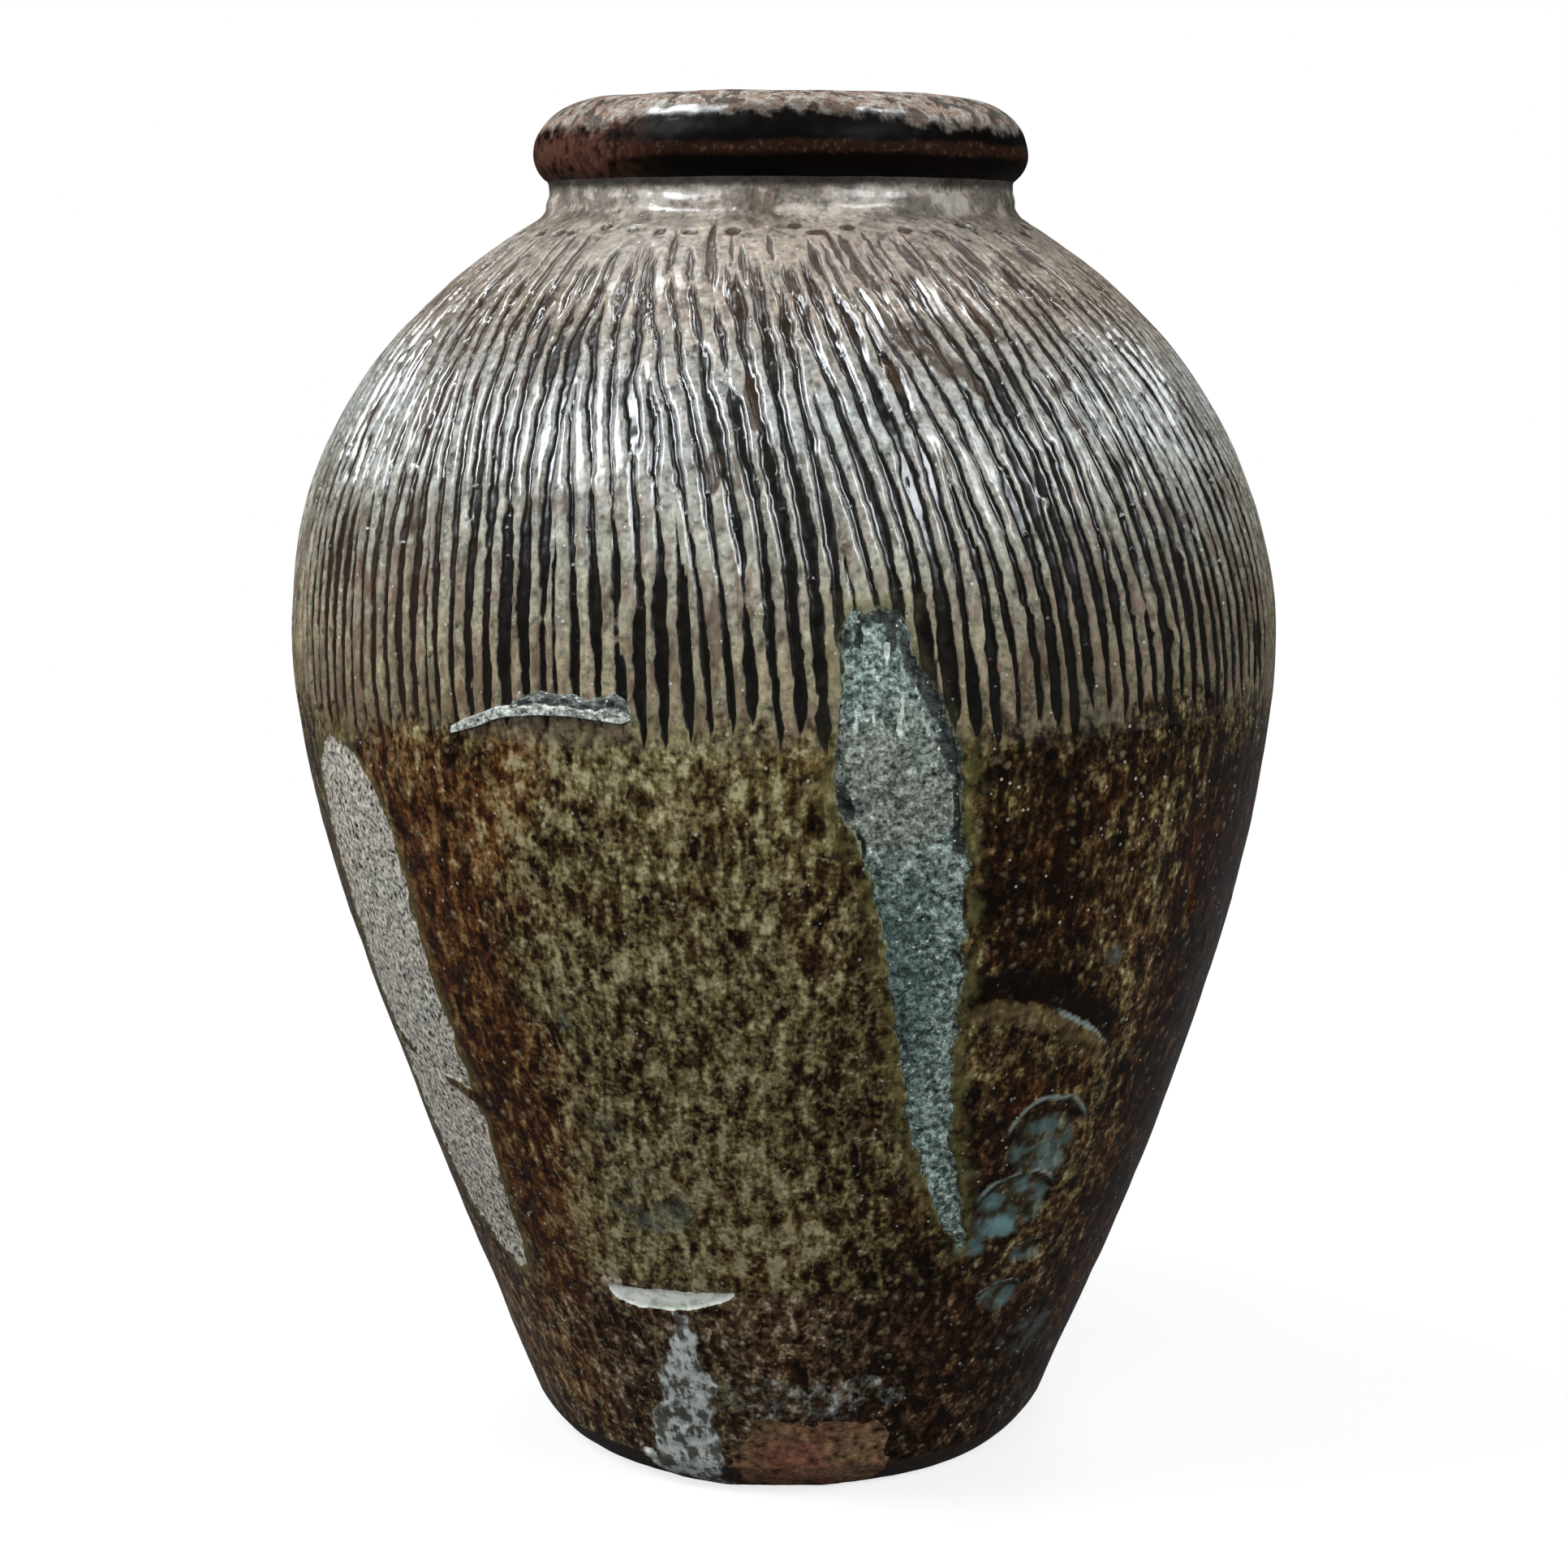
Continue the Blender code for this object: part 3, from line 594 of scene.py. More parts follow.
def wall_ring(name, node, slot_name, start, end, rows, columns, behind, kind="plain"):
    """A ring of the jar: its finely worked skin between two lengths, closed by the points behind it.

    The points of a combed ring follow the strokes of the comb.  A capped one is closed to a solid slab."""
    caps, combed = kind == "capped", kind == "combed"
    lengths = np.linspace(start, end, rows)
    pitch = lengths[1] - lengths[0]
    reach = np.concatenate([[start - pitch], lengths, [end + pitch]])
    outline = skin_at(reach)
    along = skin_at(reach + 0.2) - skin_at(reach - 0.2)
    along /= np.linalg.norm(along, axis=1)[:, None]
    around = np.linspace(-180, 180, columns, endpoint=False)[None, :]
    radius = outline[:, :1]
    height = outline[:, 1:]
    azimuth = around + (comb_lean(height, around) if combed else 0.0)
    wall = Wall(azimuth, height, radius)
    out, masks = dressed(wall)
    outside = (reach <= CREST_LENGTH)[:, None]
    skin_radius = radius + out * along[:, 1:]
    skin_height = np.maximum(height - out * along[:, :1], 0.0)
    outer = placed(skin_radius, skin_height, azimuth)
    sideways = np.roll(outer, -1, 1) - np.roll(outer, 1, 1)
    upwards = outer[2:] - outer[:-2]
    normals = np.cross(sideways[1:-1], upwards)
    normals /= np.linalg.norm(normals, axis=2)[:, :, None]
    outer = outer[1:-1]
    behind = np.array(behind, float)
    azimuth = around + (comb_lean(behind[:, 1:], around) if combed else 0.0)
    inner = placed(behind[:, :1], behind[:, 1:], azimuth)
    points = np.concatenate([outer, inner])
    total = len(points)
    faces = grid_faces(total, columns, not caps)
    face_list = faces.tolist()
    if caps:
        face_list.append(list(range(columns))[::-1])
        face_list.append(list(range((total - 1) * columns, total * columns)))
    piece = make_object(name, points, face_list, slot_name, [node])
    mesh = piece.data
    for key, values in masks.items():
        full = np.zeros((total, columns))
        full[:rows] = np.where(outside, values, 0.0)[1:-1]
        add_map(mesh, key, full)
    inward = np.ones((total, columns))
    inward[:rows] = ~outside[1:-1]
    add_map(mesh, "inside", inward)
    lay_out_bake(mesh, total - (1 if caps else 0), columns)
    mesh.shade_smooth()
    corner_normals = np.zeros((len(mesh.loops), 3))
    outer_faces = (rows - 1) * columns
    corner_normals[:outer_faces * 4] = normals.reshape(-1, 3)[faces[:outer_faces].ravel()]
    mesh.set_sharp_from_angle(angle=math.radians(50))
    mesh.normals_split_custom_set(corner_normals.tolist())
    return piece


def inner_rows(top, bottom, count):
    """Points down the inside of the wall between two heights."""
    heights = np.linspace(top, bottom, count)
    return [(float(np.interp(h, INNER_OUTLINE[:, 1], INNER_OUTLINE[:, 0])), float(h)) for h in heights]


def linear(colour):
    """A colour as it is seen on a screen, 0 to 255, in the shader's values.  A linked colour stays."""
    if isinstance(colour, Value):
        return colour
    levels = np.array(colour) / 255
    return (*np.where(levels <= 0.04045, levels / 12.92, ((levels + 0.055) / 1.055) ** 2.4), 1.0)


class Value:
    """One output of a shader node.  Sums on it add Math nodes, and a colour takes on what is laid over it."""

    def __init__(self, finish, socket):
        self.finish = finish
        self.socket = socket

    def __add__(self, other):
        return self.finish.math("ADD", self, other)

    def __sub__(self, other):
        return self.finish.math("SUBTRACT", self, other)

    def __rsub__(self, other):
        return self.finish.math("SUBTRACT", other, self)

    def __mul__(self, other):
        return self.finish.math("MULTIPLY", self, other)

    def __abs__(self):
        return self.finish.math("ABSOLUTE", self)

    __radd__ = __add__
    __rmul__ = __mul__

    def lay(self, share, over, tone=None):
        """Cover a share of this colour with another, made darker or brighter by a tone."""
        over = over if tone is None else self.finish.shade(over, tone)
        self.socket = self.finish.mix(share, self, over).socket

    def tone(self, brightness):
        """Make this colour darker or brighter."""
        self.socket = self.finish.shade(self, brightness).socket


# How a pattern is stretched: as it is, and drawn out upwards
PLAIN = (1.0, 1.0, 1.0)
UPRIGHT = (1.0, 1.0, 0.30)


class Finish:
    """A material or a world made of nodes, with one method that adds any node."""

    def __init__(self, holder):
        self.holder = holder
        holder.use_nodes = True
        self.tree = holder.node_tree
        self.tree.nodes.clear()
        self.places = {}

    def node(self, kind, sockets=None, output=0, **settings):
        """Add a node, set it up, feed its sockets and return one of its outputs."""
        made = self.tree.nodes.new("ShaderNode" + kind)
        for key, setting in settings.items():
            if key == "stops":
                self.set_stops(made.color_ramp, setting)
            else:
                setattr(made, key, setting)
        for key, fed in (sockets or {}).items():
            if isinstance(fed, Value):
                self.tree.links.new(fed.socket, made.inputs[key])
            elif fed is not None:
                made.inputs[key].default_value = fed
        return Value(self, made.outputs[output]) if made.outputs else made

    def set_stops(self, ramp, stops):
        """Give a colour ramp its colours, each at its place."""
        for _ in stops[2:]:
            ramp.elements.new(0.5)
        for element, (position, colour) in zip(ramp.elements, stops):
            element.position = position
            element.color = linear(colour)

    def math(self, operation, first, second=None):
        """A sum on one or two values."""
        return self.node("Math", {0: first, 1: second}, operation=operation)

    def step(self, value, low, high):
        """A smooth step of a value from 0 at low to 1 at high."""
        sockets = {"Value": value, "From Min": low, "From Max": high}
        return self.node("MapRange", sockets, interpolation_type="SMOOTHSTEP")

    def mix(self, factor, under, over):
        """One colour laid over another."""
        return self.node("Mix", {0: factor, 6: linear(under), 7: linear(over)}, 2, data_type="RGBA")

    def shade(self, colour, brightness):
        """A colour made darker or brighter."""
        return self.node("HueSaturation", {"Value": brightness, "Color": linear(colour)})

    def ramp(self, value, stops):
        """Colours met one after another as a value rises."""
        return self.node("ValToRGB", {"Fac": value}, stops=stops)

    def map(self, name):
        """A number stored on the mesh."""
        return self.node("Attribute", output="Fac", attribute_name=name)

    def place(self, stretch=PLAIN):
        """The place on the object in metres, stretched."""
        if stretch not in self.places:
            spot = self.node("TexCoord", output="Object")
            self.places[stretch] = self.node("VectorMath", {0: spot, 1: stretch}, operation="MULTIPLY")
        return self.places[stretch]

    def height(self):
        """The height on the object in millimetres."""
        return self.node("SeparateXYZ", {0: self.place()}, "Z") * (1 / MM)

    def noise(self, size, detail, rough, stretch=PLAIN):
        """Noise whose lumps are about a size in millimetres."""
        return self.node("TexNoise", {"Vector": self.place(stretch), "Scale": 1 / (size * MM),
                                      "Detail": detail, "Roughness": rough})

    def cells(self, size):
        """Distance to the nearest of scattered points, about a size in millimetres apart."""
        return self.node("TexVoronoi", {"Vector": self.place(), "Scale": 1 / (size * MM)})

    def mark(self, value, low, high, *noises):
        """A value or a stored number as a mask, its edge made ragged by noises, each with its strength."""
        value = self.map(value) if isinstance(value, str) else value
        for strength, noise in noises:
            value = value + strength * (noise - 0.5)
        return self.step(value, low, high)

    def bump(self, height, distance):
        """A normal raised by a height, 1 standing for a distance in millimetres."""
        sockets = {"Strength": 1.0, "Distance": distance * MM, "Height": height}
        return self.node("Bump", sockets)

    def close(self, colour, roughness, bumps, **more):
        """End with one Principled shader and the material output."""
        sockets = {"Base Color": colour, "Roughness": roughness, "Normal": bumps, **more}
        self.node("OutputMaterial", {"Surface": self.node("BsdfPrincipled", sockets)})
        return self.holder


def new_finish(name):
    """A new empty material to build on."""
    return Finish(bpy.data.materials.new(name))


# The glaze's colours from its darkest pools to its palest specks
SPECKLED_STOPS = (
    (0.0, (14, 8, 4)), (0.28, (34, 21, 10)), (0.50, (66, 54, 31)), (0.74, (108, 99, 65)),
    (1.0, (154, 149, 114)),
)
FOOT_STOPS = (
    (0.0, (20, 12, 7)), (0.30, (38, 24, 14)), (0.54, (66, 49, 35)), (0.78, (104, 88, 68)),
    (1.0, (168, 156, 136)),
)
RUSSET_STOPS = (
    (0.0, (24, 10, 4)), (0.30, (50, 24, 9)), (0.54, (82, 48, 22)), (0.78, (116, 84, 48)),
    (1.0, (148, 128, 98)),
)
# The worn ridges from the bottom of the combing up to the neck
RIDGE_STOPS = (
    (0.0, (84, 75, 50)), (0.10, (124, 115, 84)), (0.22, (156, 147, 120)), (0.40, (150, 149, 136)),
    (0.62, (150, 152, 148)), (0.78, (128, 116, 103)), (0.90, (138, 126, 114)), (1.0, (168, 161, 152)),
)


def jar_glaze(name, dark, shine, coat):
    """The kiln glaze: dark pools, khaki specks, rust, milky blue and worn ridges, from the wall's maps."""
    f = new_finish(name)
    height = f.height()
    grain = f.noise(1.5, 1.0, 0.6)
    fine = f.noise(2.6, 2.0, 0.6)
    small = f.noise(4.4, 3.0, 0.6)
    soft = f.noise(7.0, 2.0, 0.5)
    broad = f.noise(19.0, 3.0, 0.55)
    runs = f.noise(5.5, 3.0, 0.6, UPRIGHT)
    left = f.map("left_side")
    khaki = f.map("khaki")
    mottle = f.noise(3.4, 2.0, 0.55, (1.0, 1.0, 0.55))
    trickles = f.noise(3.9, 3.0, 0.6, (1.0, 1.0, 0.34))
    blotch = 0.14 * grain + 0.20 * fine + 0.36 * mottle + 0.58 * trickles + 0.22 * soft
    level = 0.5 + 3.3 * (blotch - 0.75) + 1.0 * (khaki - 0.5)
    rusty = f.mark("rust", 0.20, 0.95, (0.9, broad), (0.5, small))
    colour = f.mix(rusty, f.ramp(level, dark), f.ramp(level + 0.06, RUSSET_STOPS))
    threads = f.step(abs(f.noise(9.0, 2.0, 0.5, UPRIGHT) - 0.5), 0.040, 0.008)
    threads = threads * f.step(grain + small, 0.86, 1.12) * f.step(khaki, 0.30, 0.50)
    colour.lay(threads * 0.5, (132, 124, 90))
    specks = f.mark(f.cells(6.0), 0.26, 0.08, (0.5, fine))
    colour.lay(specks * (0.34 + 0.3 * f.step(khaki, 0.15, 0.45)), (142, 130, 98))
    colour.tone(1.02 + 1.1 * (fine - 0.5) + 1.7 * (grain - 0.5))
    # Painted highlights: tiny near-white dots stand in for glints off pinpricks in the glaze.
    painted_bubble_glints = f.mark(f.cells(4.6), 0.13, 0.05, (0.2, small)) * f.step(broad, 0.36, 0.56)
    colour.lay(painted_bubble_glints * 0.70, (190, 194, 180))

    milky = f.mark("milk", 0.25, 0.85, (1.2, soft), (0.3, fine))
    bluish = f.mix(f.mark("milk", 0.50, 0.70), (84, 98, 96), f.shade((92, 118, 116), 0.5 + small))
    murky = f.shade((78, 74, 52), 0.4 + small)
    pool = f.mix(f.mark(soft, 0.40, 0.60, (0.4, small)), murky, bluish)
    colour.lay(milky * 0.60, pool)
    colour.lay(0.60 * f.mark("milk", 0.78, 1.20, (1.2, soft), (0.5, fine)), (104, 138, 144), 0.5 + small)
    colour.lay(0.60 * f.mark("ledge", 0.3, 1.2, (1.6, small), (0.8, fine)), (108, 92, 62), 0.4 + small)
    # Painted highlight: the upper rims of the finger dents and the ledge's crest are laid pale.
    colour.lay(0.62 * f.mark("rims", 0.35, 1.0, (0.9, small)), (140, 156, 150))

    ridge = f.ramp((height - 240) * (1 / 175), RIDGE_STOPS)
    ridge.lay(f.mark(broad, 0.45, 0.65, (0.3, small)) * 0.35, (136, 124, 110))
    ridge.lay(f.step(soft, 0.54, 0.70) * 0.28, (166, 144, 134))
    ridge.lay(f.step(small, 0.46, 0.34) * 0.40, (114, 122, 112))
    uneven = 1.5 * (grain - 0.5) + 1.4 * (fine - 0.5) + 1.2 * (small - 0.5) + 1.6 * (runs - 0.5)
    ridge.tone(1.0 + uneven)
    # Ridges darker on the lower right: partly darker olive glaze, partly painted shade of the jar's right
    # side.
    ridge.tone(1.0 - 0.40 * f.mark("right_side", 0.0, 1.0))
    low = f.step(height, 350.0, 292.0)
    maroon = f.step(f.noise(4.5, 2.0, 0.55, UPRIGHT), 0.53, 0.64)
    ridge.lay(maroon * (0.15 + 0.35 * low), (112, 86, 76), 0.5 + small)
    patchy = f.mark(f.noise(6.5, 3.0, 0.65, UPRIGHT), 0.50, 0.63, (0.3, grain))
    ridge.lay(patchy * (0.16 + 0.28 * low), (72, 57, 42), 0.4 + 1.2 * small)
    stain = f.mark(runs, 0.57, 0.70, (0.7, broad))
    ridge.lay(stain * 0.70, (62, 46, 32))
    earthy = f.mark(runs, 0.42, 0.60, (0.5, soft)) * f.step(height, 330.0, 285.0)
    ridge.lay(earthy * (0.20 + 0.45 * left), (114, 90, 72), 0.6 + 0.8 * fine)
    # Painted highlights: tiny white dots on the ridges stand in for glints.
    painted_sparkle = f.mark(f.cells(3.4), 0.13, 0.05, (0.2, small)) * f.step(soft, 0.42, 0.58)
    ridge.lay(painted_sparkle * 0.85, (214, 222, 220))
    colour.lay(f.mark("combed", 0.10, 0.90, (1.3, small), (0.9, fine)), ridge)
    # Grooves turn brown on the left and fade near the top; on the upper left they are painted paler as a
    # highlight of the shoulder's sheen.
    brown_and_highlit_left = left * (0.45 + 0.40 * f.step(height, 322.0, 350.0))
    faded_and_highlit = f.math("MAXIMUM", brown_and_highlit_left, 0.8 * f.mark(height, 350.0, 392.0, (10.0, small)))
    groove = f.mix(faded_and_highlit, f.shade((12, 9, 5), 0.6 + small), f.shade((56, 40, 30), 0.6 + small))
    cut = f.map("comb") + 0.75 * (small - 0.5) + 0.55 * (fine - 0.5)
    colour.lay(f.step(cut, 0.28, 0.64), groove)
    colour.lay(0.9 * f.mark("dash", 0.25, 0.70, (0.7, small), (0.4, fine)), (50, 34, 22), 0.5 + small)
    colour.lay(0.8 * f.mark("smear", 0.30, 0.75, (0.9, small), (0.4, fine)), (52, 35, 20), 0.5 + small)
    level_spots = f.noise(7.0, 2.0, 0.5, (0.45, 0.45, 1.0))
    collar = f.mark(level_spots, 0.48, 0.58, (0.3, fine)) * f.step(height, 396.0, 404.0)
    colour.lay(collar * 0.62, (70, 64, 54), 0.4 + small)
    colour.tone(1.0 - 0.28 * f.map("far_right") * f.step(height, 388.0, 400.0))
    pale = f.step(level_spots, 0.46, 0.36) * f.step(height, 400.0, 407.0)
    colour.lay(pale * 0.5, (186, 180, 170))
    # Painted shade: the neck darkens just under the rolled rim's overhang.
    painted_shade_under_rim = f.mark(height, 410.0, 412.5, (4.0, small))
    colour.lay(painted_shade_under_rim * 0.85, (30, 24, 20), 0.5 + small)

    halo = f.mark("scar", -7.5, -0.4, (7.0, small), (5.0, broad))
    halo = halo * f.mark(runs, 0.28, 0.62, (0.8, small)) * (1 - 0.8 * f.step(cut, 0.30, 0.60))
    colour.lay(halo * 0.56, (110, 105, 64), 0.1 + 1.0 * fine + 0.8 * small)
    crusty = f.mix(f.step(grain + small, 0.80, 1.10), (56, 62, 54), (126, 132, 112))
    colour.lay(f.mark("scar", -0.8, 0.5, (2.4, fine)), crusty)
    colour.lay(0.55 * f.mark("strip", -6.0, -0.5, (4.0, small)), (98, 88, 54))
    bare = f.mark("strip", -0.5, 0.6, (1.6, fine))
    bare_grain = f.mix(f.step(broad, 0.36, 0.66) * 0.4, (158, 155, 146), (158, 144, 132))
    colour.lay(bare, bare_grain, 1.04 + 4.2 * (grain - 0.5) + 2.4 * (fine - 0.5))

    run = f.mark("run", 0.30, 0.75, (0.9, small), (0.5, fine))
    colour.lay(run * 0.85, milky_net(f, fine, small))
    red = f.mark("red", 0.3, 0.7, (1.1, small), (0.5, fine))
    colour.lay(red * 0.92, red_clay(f, broad, small, fine))
    white = f.mix(f.step(small, 0.36, 0.56), (194, 206, 188), (250, 252, 246))
    colour.lay(f.mark("crescent", 0.4, 0.6, (0.4, fine)), white)
    colour.lay(f.map("inside"), inner_glaze(f, small))

    matt = f.mark("scar", -0.5, 0.5) + bare + red
    chalky = f.step(height, 380.0, 388.0) * f.step(height, 403.0, 397.0)
    roughness = 0.26 + 0.14 * f.step(level, 0.3, 0.9) + 0.24 * (small - 0.5) + 0.5 * matt + 0.12 * chalky
    pimples = f.step(f.cells(6.0), 0.20, 0.04)
    ripple = f.noise(2.6, 0.0, 0.5)
    swell = f.noise(8.0, 1.0, 0.4)
    bumps = f.bump(0.6 * swell + 0.14 * ripple + 0.25 * pimples + 0.30 * matt * grain, 1.0)
    wet = f.mark(broad, 0.34, 0.56, (0.5, small))
    glassy = coat * (1 - 0.8 * chalky) * f.step(matt, 0.6, 0.1) * wet
    return f.close(colour, roughness, bumps,
                   **{"Specular IOR Level": shine, "Coat Weight": glassy, "Coat Roughness": 0.12})


def inner_glaze(f, small):
    """The plain brown glaze on the inside of the jar."""
    return f.mix(f.step(small, 0.35, 0.65), (46, 28, 18), (86, 60, 40))


def milky_net(f, fine, small):
    """The grey-white veins of the run under the foot seam."""
    veins = f.step(abs(f.noise(7.0, 3.0, 0.6, UPRIGHT) - 0.5) + 0.3 * (fine - 0.5), 0.12, 0.0)
    return f.shade(f.mix(veins, (86, 88, 82), (212, 220, 216)), 0.55 + 1.1 * small)


def red_clay(f, broad, small, fine):
    """The bare red-brown clay at the foot, in soft blotches."""
    base = f.mix(f.step(broad, 0.40, 0.60), (116, 92, 68), (120, 80, 64))
    return f.shade(base, 1.05 + 3.4 * (small - 0.5) + 3.4 * (fine - 0.5))


def rim_finish(name):
    """The rim's dark glossy glaze in level bands, maroon below over painted shade on the roll's underside,
    and worn tan on the crest.
    """
    f = new_finish(name)
    grain = f.noise(0.9, 2.0, 0.7)
    fine = f.noise(1.8, 3.0, 0.65)
    small = f.noise(4.0, 4.0, 0.6)
    broad = f.noise(9.0, 3.0, 0.55, (0.35, 0.35, 1.0))
    drips = f.noise(6.0, 3.0, 0.6, (1.0, 1.0, 0.15))
    height = f.height() + 5.0 * (broad - 0.5)
    side = f.map("left_side")
    maroon = f.shade((36, 21, 15), 0.4 + 1.2 * fine)
    maroon = f.mix(f.step(fine, 0.54, 0.66) * 0.5, maroon, (88, 62, 48))
    # Painted shade: below the maroon band the roll's underside is laid near black.
    colour = f.mix(f.mark(height + 3.5 * side, 419.4, 421.6, (2.0, small)), (10, 7, 5), maroon)
    colour.lay(f.mark(height, 423.2, 425.4, (2.0, small)), (8, 6, 5))
    russet = f.shade((88, 56, 45), 0.4 + 1.2 * fine)
    colour.lay(side * f.mark(small, 0.34, 0.58, (0.5, broad)) * 0.7, russet)
    edge = height + 5.0 * (small - 0.5) + 8.0 * (drips - 0.5) + 5.0 * side + 4.0 * f.map("far_right")
    tan = f.step(edge, 431.5, 436.5)
    tan_colour = f.mix(f.step(small, 0.42, 0.60), (128, 108, 96), (154, 148, 139))
    colour.lay(tan, tan_colour, 1.0 + 1.6 * (grain - 0.5) + 1.2 * (fine - 0.5))
    blot = f.mark(drips, 0.51, 0.58, (0.5, small), (0.3, fine))
    colour.lay(blot * tan * 0.8, (34, 25, 18))
    colour.lay(f.map("inside") * f.step(height, 436.0, 430.0), inner_glaze(f, small))
    upper = f.step(height, 430.2, 433.2)
    polished = f.mark(broad, 0.38, 0.58, (0.6, small), (0.3, fine))
    glossy = upper * f.step(height, 437.5, 434.5) * (0.30 + 0.65 * polished) * (1 - 0.9 * f.map("inside"))
    roughness = 0.40 - 0.20 * upper + 0.14 * tan + 0.12 * (small - 0.5)
    bumps = f.bump(0.8 * f.noise(9.0, 1.0, 0.4) + 0.10 * f.noise(2.6, 0.0, 0.5), 1.0)
    return f.close(colour, roughness, bumps, **{"Specular IOR Level": 0.04, "Coat Weight": glossy,
                                                "Coat Roughness": 0.17, "Coat IOR": 1.7})


def clay_finish(name):
    """Bare fired clay of the slab, reddish brown with grit, and the glaze that reached its edge."""
    f = new_finish(name)
    grain = f.noise(0.9, 2.0, 0.7)
    fine = f.noise(1.8, 3.0, 0.65)
    small = f.noise(5.0, 4.0, 0.6)
    colour = f.mix(f.step(small, 0.35, 0.65), (92, 60, 45), (136, 102, 82))
    colour.tone(0.3 + 0.8 * grain + 0.6 * fine)
    glazed = f.mark("glazed", 0.35, 0.7, (0.8, small))
    colour.lay(glazed, f.mix(f.step(fine, 0.4, 0.65), (24, 17, 12), (58, 40, 28)))
    red = f.mark("red", 0.3, 0.7, (0.9, small))
    colour.lay(red * 0.92, red_clay(f, f.noise(19.0, 3.0, 0.55), small, fine))
    run = f.mark("run", 0.30, 0.75, (0.9, small))
    colour.lay(run * 0.85, milky_net(f, fine, small))
    colour.lay(f.mark("crescent", 0.4, 0.6, (0.4, fine)), (206, 212, 202))
    roughness = 0.75 - 0.45 * glazed * (1 - red)
    bumps = f.bump(0.3 * grain + 0.4 * fine + 0.9 * small, 0.9)
    return f.close(colour, roughness, bumps)


def grit_finish(name, pale, middle, dark):
    """A crust of kiln grit: pale and dark grains, with streaks and stains."""
    f = new_finish(name)
    sand = f.noise(1.0, 1.0, 0.6)
    grain = f.noise(1.8, 2.0, 0.65)
    small = f.noise(3.8, 4.0, 0.62)
    broad = f.noise(16.0, 2.0, 0.5)
    streak = f.noise(2.6, 2.0, 0.5, (1.0, 1.0, 0.22))
    colour = f.mix(f.mark(small, 0.40, 0.60, (0.6, grain)), middle, pale)
    colour.lay(0.42 * f.mark("warm", 0.1, 1.1, (1.2, broad), (0.9, small)), (122, 114, 104))
    colour.lay(0.68 * f.mark("cool", 0.1, 1.1, (1.4, broad), (0.9, small)), (58, 78, 76))
    kernels = 1.44 - 0.9 * f.cells(1.9)
    colour.tone(kernels + 2.6 * (sand - 0.5) + 2.0 * (grain - 0.5) + 1.2 * (small - 0.5))
    gaps = f.mark(grain, 0.43, 0.35, (0.8, small)) * (0.2 + 0.8 * f.map("pits"))
    colour.lay(gaps, dark)
    # Dark pits of the crust, and on the shard a painted shadow along its lower edge.
    colour.lay(0.92 * f.mark("pits", 0.42, 0.72, (1.3, small), (0.6, grain)), (28, 32, 31), 0.4 + grain)
    glints = f.mark(f.cells(2.4), 0.24, 0.12, (0.3, small)) * f.step(grain, 0.46, 0.58)
    white = f.mark("white", 0.45, 0.80, (0.9, streak), (0.6, grain))
    colour.lay(f.math("MAXIMUM", white * 0.75, glints * 0.85), (214, 220, 212))
    roughness = 0.60 - 0.3 * white + 0.3 * (small - 0.5)
    bumps = f.bump(0.8 * grain + 1.0 * small, 0.9)
    return f.close(colour, roughness, bumps)


MATERIALS = {
    "bare_clay": clay_finish("bare_clay"),
    "foot_glaze": jar_glaze("foot_glaze", FOOT_STOPS, 0.18, 0.10),
    "speckled_glaze": jar_glaze("speckled_glaze", SPECKLED_STOPS, 0.18, 0.10),
    "combed_glaze": jar_glaze("combed_glaze", SPECKLED_STOPS, 0.6, 0.8),
    "neck_glaze": jar_glaze("neck_glaze", SPECKLED_STOPS, 0.5, 0.4),
    "rim_glaze": rim_finish("rim_glaze"),
    "kiln_shard": grit_finish("kiln_shard", (172, 178, 170), (138, 142, 134), (46, 50, 46)),
    "kiln_grit": grit_finish("kiln_grit", (136, 152, 144), (90, 106, 99), (40, 48, 45)),
}


def add_place_maps(piece):
    """Maps that follow from each point's place: the combing, the sides and the glaze's lower edge."""
    mesh = piece.data
    points = np.zeros(len(mesh.vertices) * 3, np.float32)
    mesh.vertices.foreach_get("co", points)
    x, y, height = points.reshape(-1, 3).T / MM
    x = x - lean_of_axis(height)
    turn = np.degrees(np.arctan2(x, -y))
    wall = Wall(turn, height, np.hypot(x, y))
    ragged = height + 7.0 * clouds(wall.around, 12.0, 3, 91)
    add_map(mesh, "combed", step(-9.0, 16.0, ragged - stroke_ends(wall) - 2))
    add_map(mesh, "left_side", step(-25, -50, turn) * step(-176, -140, turn))
    add_map(mesh, "far_right", step(8, 40, turn) * step(176, 140, turn))
    add_map(mesh, "right_side", step(8, 34, turn) * step(175, 150, turn) * step(345, 285, height))
    add_map(mesh, "glazed", step(0.4, 2.5, height))


